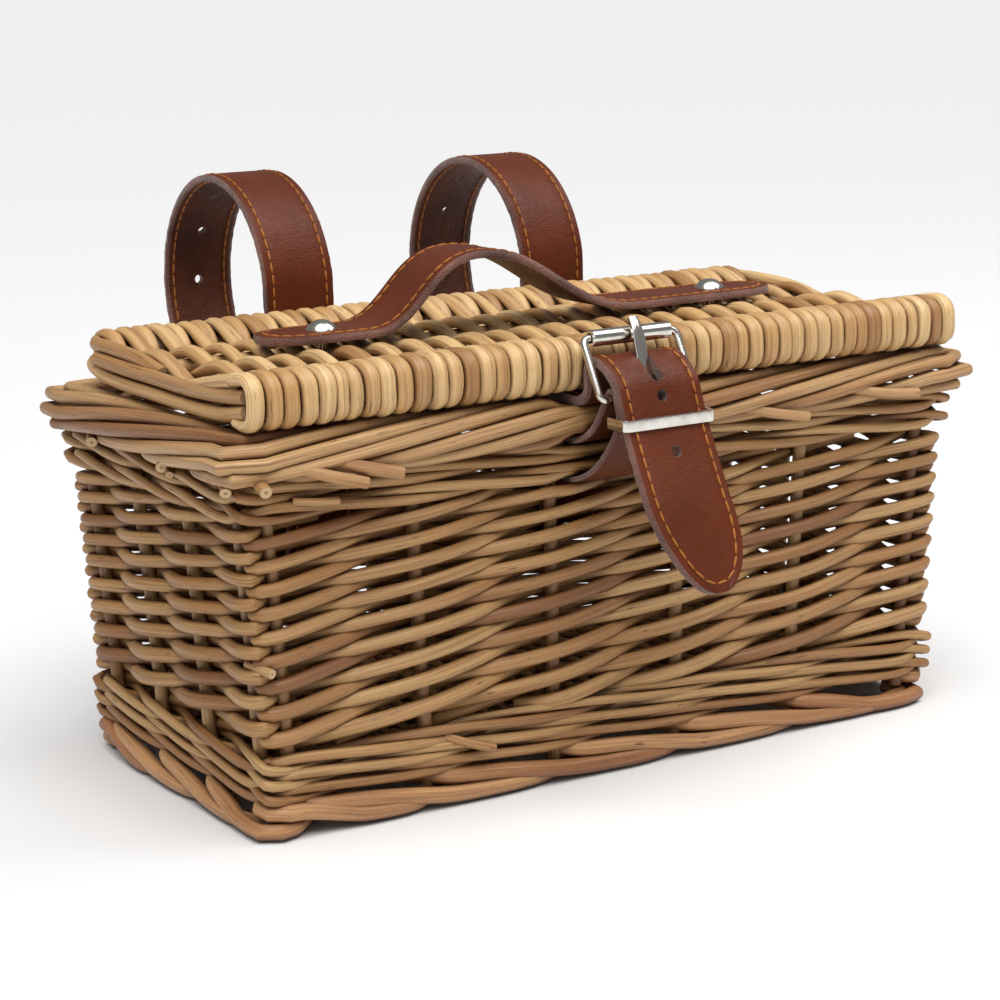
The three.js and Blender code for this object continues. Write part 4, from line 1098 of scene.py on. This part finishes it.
nickel = build_nickel()


def made_mesh(name, shape, finish):
    """A built shape as a mesh in one finish."""
    mesh = bpy.data.meshes.new(name)
    shape.to_mesh(mesh)
    shape.free()
    mesh.materials.append(finish)
    return mesh


def turned(name, profile, centre, along, steps=48):
    """A nickel piece turned on a lathe from a closed profile of radius and height, about an axis."""
    along = Vector(along).normalized()
    side = along.orthogonal().normalized()
    other = along.cross(side)
    centre = Vector(centre)
    shape = bmesh.new()
    rings = []
    for number in range(steps):
        angle = 2 * math.pi * number / steps
        way = side * math.cos(angle) + other * math.sin(angle)
        rings.append([shape.verts.new(centre + way * radius + along * height) for radius, height in profile])
    for near, far in zip(rings, rings[1:] + rings[:1]):
        for i in range(len(profile)):
            j = (i + 1) % len(profile)
            shape.faces.new((near[i], near[j], far[j], far[i]))
    mesh = made_mesh(name, shape, nickel)
    tidy_mesh(mesh)
    return new_piece(name, mesh)


def fasten(name, node, profile):
    """A turned piece of the lid, standing on the foot of its CAD node."""
    middle = node_middle(node)
    piece = turned(name, profile, (middle.x, middle.y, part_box(node)[0].z), (0, 0, 1))
    belong(piece, "lid", "nickel", node)


RIVET_PROFILE = (
    (0.0, 22.2), (1.2, 22.1), (2.4, 21.7), (3.5, 21.0), (4.4, 20.1), (4.95, 19.2), (5.07, 18.8),
    (4.9, 18.65), (1.6, 18.65), (1.6, 0.8), (2.5, 0.7), (2.4, 0.2), (1.6, 0.0), (0.0, 0.0),
)
WASHER_PROFILE = ((2.0, 0.0), (4.7, 0.0), (4.87, 0.2), (4.87, 0.8), (4.7, 1.0), (2.0, 1.0))
for side in ("left", "right"):
    low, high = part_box(f"handle_rivet_{side}")
    stretch = (high.z - low.z - HANDLE_DROP) / RIVET_PROFILE[0][1]
    profile = [(radius * MM, height * stretch) for radius, height in RIVET_PROFILE]
    fasten(f"handle_rivet_dome_{side}", f"handle_rivet_{side}", profile)
    profile = [(radius * MM, height * MM) for radius, height in WASHER_PROFILE]
    fasten(f"handle_washer_ring_{side}", f"handle_washer_{side}", profile)

# Closing strap: a stitched leather strap pinned under the lid's front edge, with punched holes.
# It comes up behind the buckle, goes through it and the keeper, and hangs down the front to a point.
CLOSING_HALF = 14.5 * MM
CLOSING_THICK = 3.0 * MM
CLOSING_TAPER = 27 * MM
CLOSING_TIP = 1.0 * MM
TIP_SKEW = 4.0 * MM
SKEW_RUN = 30 * MM
CLOSING_HOLES = (42.5 * MM, 59 * MM)
CLOSING_HOLE = 1.8 * MM
FRONT_SLOT_LIFT = 48
CLOSING_POINTS = (
    (-41.65, 115.4), (-55.08, 115.4), (-64.0, 115.4), (-67.4, 118.4), (-67.4, 123.9), (-68.9, 127.21),
    (-74.64, 127.21), (-82.17, 121.86), (-84.17, 117.4), (-86.45, 111.4), (-90.49, 102.83), (-99.58, 84.74),
    (-106.65, 63.8),
)
FRONT_HEEL = (-78.5, 117.4)
FRONT_ROLLER = (-69.289, 134.018)
FRONT_PRONG_WAY = (5.80, 18.51)


def upright(x, spot):
    """A place in the upright plane at x, from y and z in millimetres."""
    return (x, MIDDLE_Y + spot[0] * MM, spot[1] * MM)


def across_line(points, x, step=STRAP_STEP):
    """A smooth line in the upright plane at x, through points of y and z in millimetres."""
    return smooth_line([upright(x, point) for point in points], step)


def punch(piece, cuts):
    """Cut holes and slots: each is what spans its round bars of a centre, axis, radius and half length."""
    shape = bmesh.new()
    for bars in cuts:
        corners = []
        for centre, axis, radius, depth in bars:
            turn = Vector(axis).to_track_quat("Z", "Y")
            for angle in np.linspace(0, 2 * math.pi, 20, endpoint=False):
                for end in (-depth, depth):
                    ring = Vector((radius * math.cos(angle), radius * math.sin(angle), end))
                    corners.append(shape.verts.new(Vector(centre) + turn @ ring))
        hull = bmesh.ops.convex_hull(shape, input=corners)
        within = [part for part in hull["geom_interior"] if isinstance(part, bmesh.types.BMVert)]
        bmesh.ops.delete(shape, geom=within, context="VERTS")
    tool = new_piece("hole_punch", made_mesh("hole_punch", shape, leather_edge))
    cutting = piece.modifiers.new("Holes", "BOOLEAN")
    cutting.operation = "DIFFERENCE"
    cutting.solver = "EXACT"
    cutting.use_self = True
    cutting.material_mode = "TRANSFER"
    cutting.object = tool
    settle(piece)
    bpy.data.objects.remove(tool)


HOLE_DEPTH = 4 * MM
SLOT_HALF = 1.9 * MM
SLOT_RADIUS = 2.15 * MM


def left_of(line):
    """The distance from each point of a line to its end."""
    travel = travel_of(line)
    return travel[-1] - travel


def holes_at(line, across, distances, radius):
    """Punch cuts square to a strap at distances back from its end."""
    left = left_of(line)
    out = directions(line, np.asarray(across, float), False)[1]
    spots = [int(np.argmin(np.abs(left - distance))) for distance in distances]
    return [[(line[spot], out[spot], radius, HOLE_DEPTH)] for spot in spots]


def prong_slot(x, heel, way, lift):
    """The slot that leaves a prong room from its rest to its full lift, in degrees."""
    bars = []
    for turn, start, end in ((0, 5.5, 14.0), (lift, 2.4, 11.0)):
        angle = math.atan2(way[1], way[0]) + math.radians(turn)
        along = np.array([math.cos(angle), math.sin(angle)])
        centre = upright(x, heel + along * (start + end) / 2)
        bars.append((centre, (0, *along), SLOT_RADIUS, (end - start) / 2 * MM))
    return bars


def heel_slot(x, heel, radius):
    """The slot in a strap's fold round a heel bar, for the eye of the prong."""
    return [(upright(x, heel), (1, 0, 0), radius, SLOT_HALF)]


FACING_FRONT = (-1, 0, 0)
closing = fine_ends(across_line(CLOSING_POINTS, CLOSING_X), 14 * MM)
closing[:, 0] += TIP_SKEW * ease(1 - left_of(closing) / SKEW_RUN)
closing_half = pointed(travel_of(closing), CLOSING_HALF, CLOSING_TAPER, CLOSING_TIP)
closing_piece = cut_strap("closing_leather", closing, FACING_FRONT, closing_half, CLOSING_THICK)
closing_cuts = holes_at(closing, FACING_FRONT, CLOSING_HOLES, CLOSING_HOLE)
closing_cuts.append(prong_slot(CLOSING_X, FRONT_HEEL, FRONT_PRONG_WAY, FRONT_SLOT_LIFT))
punch(closing_piece, closing_cuts)
closing_thread = sew("closing_thread", stitch_row(closing, FACING_FRONT, closing_half, CLOSING_THICK))
for piece in (closing_piece, closing_thread):
    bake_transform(piece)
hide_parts("closing_strap")

# Closing pin: a short nickel rivet, driven up through the strap's hidden end into the lid.
# Its round head lies under the leather.
PIN_SHANK = 1.2
PIN_HEAD = ((0.0, 0.0), (1.6, 0.05), (2.5, 0.35), (2.85, 0.8), (2.7, 1.0), (PIN_SHANK, 1.0))
pin_low, pin_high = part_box("closing_pin")
pin_length = pin_high.z - pin_low.z
pin_profile = [(radius * MM, height * MM) for radius, height in PIN_HEAD]
fasten("closing_pin_rivet", "closing_pin", [*pin_profile, (PIN_SHANK * MM, pin_length), (0.0, pin_length)])

# Buckle strap: a loop of thin leather sewn through the wall above and below the upper wale.
# It holds the front buckle by its heel bar, and a slot in it leaves the prong free.
BUCKLE_THICK = 1.8 * MM
BUCKLE_SLOT = 4.3 * MM
BUCKLE_POINTS = (
    (-48.43, 94.75), (-48.43, 99.05), (-52.03, 102.65), (-58.93, 102.65), (-68.2, 107.15), (-76.2, 118.24),
    (-77.23, 119.49), (-78.82, 119.83), (-80.27, 119.09), (-80.94, 117.61), (-82.25, 111.4), (-71.06, 96.82),
    (-58.93, 91.15), (-52.03, 91.15), (-48.43, 94.75),
)
buckle_line = across_line(BUCKLE_POINTS, CLOSING_X)[:-1]
buckle_half = np.full(len(buckle_line), BUCKLE_HALF)
buckle_strap = cut_strap("buckle_loop", buckle_line, FACING_FRONT, buckle_half, BUCKLE_THICK, closed=True)
punch(buckle_strap, [heel_slot(CLOSING_X, FRONT_HEEL, BUCKLE_SLOT)])
belong(buckle_strap, "body", "leather", "buckle_strap")

# Roller buckles: a bent nickel wire frame, a tube that turns on its far side and a flat prong.
# The prong turns on the heel bar and rests on the roller.
BUCKLE_WIRE = 1.2 * MM
BUCKLE_CORNER = 2.2 * MM
ROLLER_INSET = 2.55 * MM
FRONT_FRAME_HALF = 16.3 * MM
PRONG_EYE = 2.1
# From the eye to the tip: distance along the prong and rise.
PRONG_BEND = ((3.9, 0.75), (7.0, 0.25), (12.0, 0.25), (17.0, 0.45), (20.0, 0.3), (23.0, -0.6))


def rounded(half_x, half_y, corner, steps):
    """A rectangle with rounded corners about the origin, anticlockwise."""
    line = []
    for right, up, start in ((1, 1, 0), (-1, 1, 90), (-1, -1, 180), (1, -1, 270)):
        for angle in np.radians(np.linspace(start, start + 90, steps)):
            x = right * (half_x - corner) + corner * math.cos(angle)
            line.append((x, up * (half_y - corner) + corner * math.sin(angle)))
    return line


def frame_line(x, heel, roller, half):
    """The line of the wire frame, round the heel bar and the roller."""
    heel, roller = (np.array(upright(0.0, spot)) for spot in (heel, roller))
    length = np.linalg.norm(roller - heel)
    return [
        heel + (roller - heel) * (0.5 + up / length) + (x + across, 0.0, 0.0)
        for across, up in rounded(half, length / 2, BUCKLE_CORNER, 7)
    ]


def buckle_roller(name, x, roller, half):
    """The tube on the frame's far side."""
    profile = [(1.55, -half), (2.2, -half), (2.45, 0.25 * MM - half)]
    profile += [(radius, -end) for radius, end in reversed(profile)]
    profile = [(radius * MM, end) for radius, end in profile]
    return turned(name, profile, upright(x, roller), (1, 0, 0))


def buckle_prong(name, x, heel, way, facing):
    """A flat prong with its eye rolled round the heel bar and its tip bent onto the roller."""
    way = np.array(way) / math.hypot(*way)
    out = facing * np.array([-way[1], way[0]])
    heel = np.array(heel)
    turns = np.radians(np.linspace(-55, -318, 16))
    points = [heel + PRONG_EYE * (math.cos(turn) * way + math.sin(turn) * out) for turn in turns]
    points += [heel + way * reach + out * rise for reach, rise in PRONG_BEND]
    line = across_line(points, x, 0.6 * MM)
    # Thin round the eye, full along the shank, and narrow and thin again towards the tip.
    left = left_of(line)
    eye = ease((travel_of(line) - 11 * MM) / (4 * MM))
    wide = (1.6 + 0.3 * eye - 0.5 * ease(1 - left / (7 * MM))) * MM
    deep = (0.55 + 0.5 * eye - 0.35 * ease(1 - left / (8 * MM))) * MM
    shape = []
    for right, up in ((1, 1), (-1, 1), (-1, -1), (1, -1)):
        pair = [(right, 0.55 * up), (0.7 * right, up)]
        shape += pair if right * up > 0 else pair[::-1]
    shape = np.array(shape)
    sections = np.stack([wide[:, None] * shape[:, 0], deep[:, None] * shape[:, 1]], axis=2)
    return sweep(name, line, (1, 0, 0), sections, [0] * len(shape), (nickel,))


def add_buckle(node, x, heel, roller, half, way, facing):
    """A whole roller buckle, each part on its own body."""
    wire = [(frame_line(x, heel, roller, half), BUCKLE_WIRE, 0.5)]
    add_rods(
        f"{node}_frame_wire", wire, nickel, "body", "nickel", f"{node}_frame", sides=20, closed=True,
    )
    roller_piece = buckle_roller(f"{node}_roller_tube", x, roller, half - ROLLER_INSET)
    belong(roller_piece, f"{node}_roller", "nickel", f"{node}_roller")
    prong_piece = buckle_prong(f"{node}_prong_bar", x, heel, way, facing)
    belong(prong_piece, f"{node}_prong", "nickel", f"{node}_prong")


add_buckle("front", CLOSING_X, FRONT_HEEL, FRONT_ROLLER, FRONT_FRAME_HALF, FRONT_PRONG_WAY, 1)

# Keeper: a flat band of nickel bent round the strap and the buckle loop, just below the buckle.
# It holds the strap's free end down.
KEEPER_THICK = 1.2 * MM
KEEPER_CORNER = 1.7 * MM
KEEPER_GAP = 0.3 * MM
keeper_middle = np.array(node_middle("front_keeper"))
keeper_y, keeper_half = (np.array(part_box("front_keeper")[1]) - keeper_middle)[1:]
keeper_x = CLOSING_HALF + KEEPER_GAP + KEEPER_THICK / 2
keeper_path = rounded(keeper_x, keeper_y - KEEPER_THICK / 2, KEEPER_CORNER, 8)
keeper_line = np.array([keeper_middle + (across, back, 0.0) for across, back in keeper_path])
KEEPER_SHAPE = (
    (1, 0.1), (0.9, 0.55), (0.6, 0.86), (0.2, 0.98), (-0.2, 0.98), (-0.6, 0.86), (-0.9, 0.55), (-1, 0.1),
    (-0.95, -0.9), (-0.8, -1), (0.8, -1), (0.95, -0.9),
)
keeper_section = np.array([(up * keeper_half, out * KEEPER_THICK / 2) for up, out in KEEPER_SHAPE])
keeper_sections = np.broadcast_to(keeper_section, (len(keeper_line), *keeper_section.shape))
keeper_skins = [0] * len(KEEPER_SHAPE)
keeper_piece = sweep(
    "front_keeper_band", keeper_line, (0, 0, 1), keeper_sections, keeper_skins, (nickel,), closed=True,
)
belong(keeper_piece, "body", "nickel", "front_keeper")

# Handlebar belts: two stitched leather belts at the back that hang the basket on the bar.
# Each is threaded through the wall round its own buckle, over the border, round the bar and back down.
BAR_THICK = 2.4 * MM
BAR_TAPER = 14 * MM
BAR_TIP = 1.5 * MM
BAR_HOLE = 1.5 * MM
BAR_SLOT = 4.6 * MM
BAR_SLOT_LIFT = -25
BAR_FRAME_HALF = 14.3 * MM
BAR_HEEL = (77.123, 60.382)
BAR_ROLLER = (67.912, 77.0)
BAR_PRONG_WAY = (-5.80, 18.51)
BAR_ANCHOR = (
    (72.43, 53.35), (78.79, 58.19), (79.85, 60.01), (79.31, 62.05), (77.49, 63.11), (75.46, 62.57),
    (69.09, 57.72), (57.66, 50.13), (52.92, 50.13), (48.12, 54.93), (48.12, 76.67), (48.12, 109.7),
    (51.48, 115.4), (54.36, 115.4),
)
LOOP_MIDDLE = (94.0, 134.4)
LOOP_RADIUS = 37.5
LOOP_TURNS = np.radians(np.linspace(188, -86, 13))
BAR_LOOP = LOOP_MIDDLE + LOOP_RADIUS * np.column_stack([np.cos(LOOP_TURNS), np.sin(LOOP_TURNS)])
BAR_TAIL = (
    (68.51, 92.4), (63.26, 82.25), (63.26, 77.0), (69.19, 69.25), (75.29, 68.14), (81.45, 64.49),
    (83.23, 59.83), (82.67, 43.38), (81.01, 26.38),
)
FACING_BACK = (1, 0, 0)
HOLE_STEP = 17.5 * MM
for side, bar_x in zip(("left", "right"), BAR_SPOTS):
    belt = fine_ends(across_line([*BAR_ANCHOR, *BAR_LOOP, *BAR_TAIL], bar_x), 10 * MM)
    belt_half = pointed(travel_of(belt), BAR_HALF, BAR_TAPER, BAR_TIP)
    belt_piece = cut_strap(f"{side}_bar_belt", belt, FACING_BACK, belt_half, BAR_THICK)
    loop_back = left_of(belt)[np.argmax(belt[:, 1])]
    belt_cuts = holes_at(belt, FACING_BACK, loop_back + HOLE_STEP * np.arange(-5, 3), BAR_HOLE)
    belt_cuts.append(heel_slot(bar_x, BAR_HEEL, BAR_SLOT))
    belt_cuts.append(prong_slot(bar_x, BAR_HEEL, BAR_PRONG_WAY, BAR_SLOT_LIFT))
    punch(belt_piece, belt_cuts)
    belong(belt_piece, "body", "leather", f"{side}_bar_strap")
    rows = [stitch_row(belt, FACING_BACK, belt_half, BAR_THICK, under) for under in (False, True)]
    belong(sew(f"{side}_bar_thread", *rows), "body", "leather")
    add_buckle(f"{side}_bar", bar_x, BAR_HEEL, BAR_ROLLER, BAR_FRAME_HALF, BAR_PRONG_WAY, -1)

# Floor, lights and camera: a pale studio floor, a white surround and large soft lights.
# The camera stands where the photograph was taken from, to the left and a little above.
FLOOR = 30.0
FLOOR_LEVEL = -0.3 * MM
floor_corners = [(x * FLOOR, y * FLOOR, FLOOR_LEVEL) for x, y in ((-1, -1), (1, -1), (1, 1), (-1, 1))]
floor_mesh = bpy.data.meshes.new("studio_floor")
floor_mesh.from_pydata(floor_corners, [], [(0, 1, 2, 3)])
floor_paint, _, floor_shader = new_material("studio_floor", 0.8)
floor_shader.inputs["Base Color"].default_value = (0.82, 0.82, 0.82, 1.0)
floor_mesh.materials.append(floor_paint)
floor = new_piece("studio_floor", floor_mesh)

world = bpy.data.worlds.new("studio")
world.use_nodes = True
world.node_tree.nodes["Background"].inputs["Color"].default_value = (1.0, 1.0, 1.0, 1.0)
world.node_tree.nodes["Background"].inputs["Strength"].default_value = 0.22
scene = bpy.context.scene
scene.world = world
scene.view_settings.view_transform = "Standard"

AIM = Vector((-5.9 * MM, MIDDLE_Y, 73.6 * MM))


def add_light(name, kind, power, way):
    """A light that shines one way."""
    lamp = bpy.data.lights.new(name, kind)
    lamp.energy = power
    light = bpy.data.objects.new(name, lamp)
    light.rotation_euler = Vector(way).to_track_quat("-Z", "Y").to_euler()
    scene.collection.objects.link(light)
    return light


add_light("sky_light", "SUN", 3.0, (0.16, 0.30, -0.94)).data.angle = math.radians(60)
for name, spot, size, power in (
    ("left_light", (-1.2, -0.9, 0.75), 0.8, 2), ("right_light", (0.62, -0.25, 1.05), 0.7, 4),
):
    light = add_light(name, "AREA", power, AIM - Vector(spot))
    light.location = spot
    light.data.size = size

AZIMUTH = math.radians(-31.95)
ELEVATION = math.radians(12.0)
ROLL = math.radians(-1.24)
DISTANCE = 0.8315
toward = Vector((
    math.sin(AZIMUTH) * math.cos(ELEVATION), -math.cos(AZIMUTH) * math.cos(ELEVATION), math.sin(ELEVATION),
))
level_right = Vector((math.cos(AZIMUTH), math.sin(AZIMUTH), 0.0))
level_up = toward.cross(level_right)
right = math.cos(ROLL) * level_right + math.sin(ROLL) * level_up
up = math.cos(ROLL) * level_up - math.sin(ROLL) * level_right
lens = bpy.data.cameras.new("photo_camera")
lens.sensor_width = 36.0
lens.lens = 95.1
camera = bpy.data.objects.new("photo_camera", lens)
camera_turn = Matrix((right, up, toward)).transposed().to_4x4()
camera.matrix_world = Matrix.Translation(AIM + toward * DISTANCE) @ camera_turn
scene.collection.objects.link(camera)
scene.camera = camera
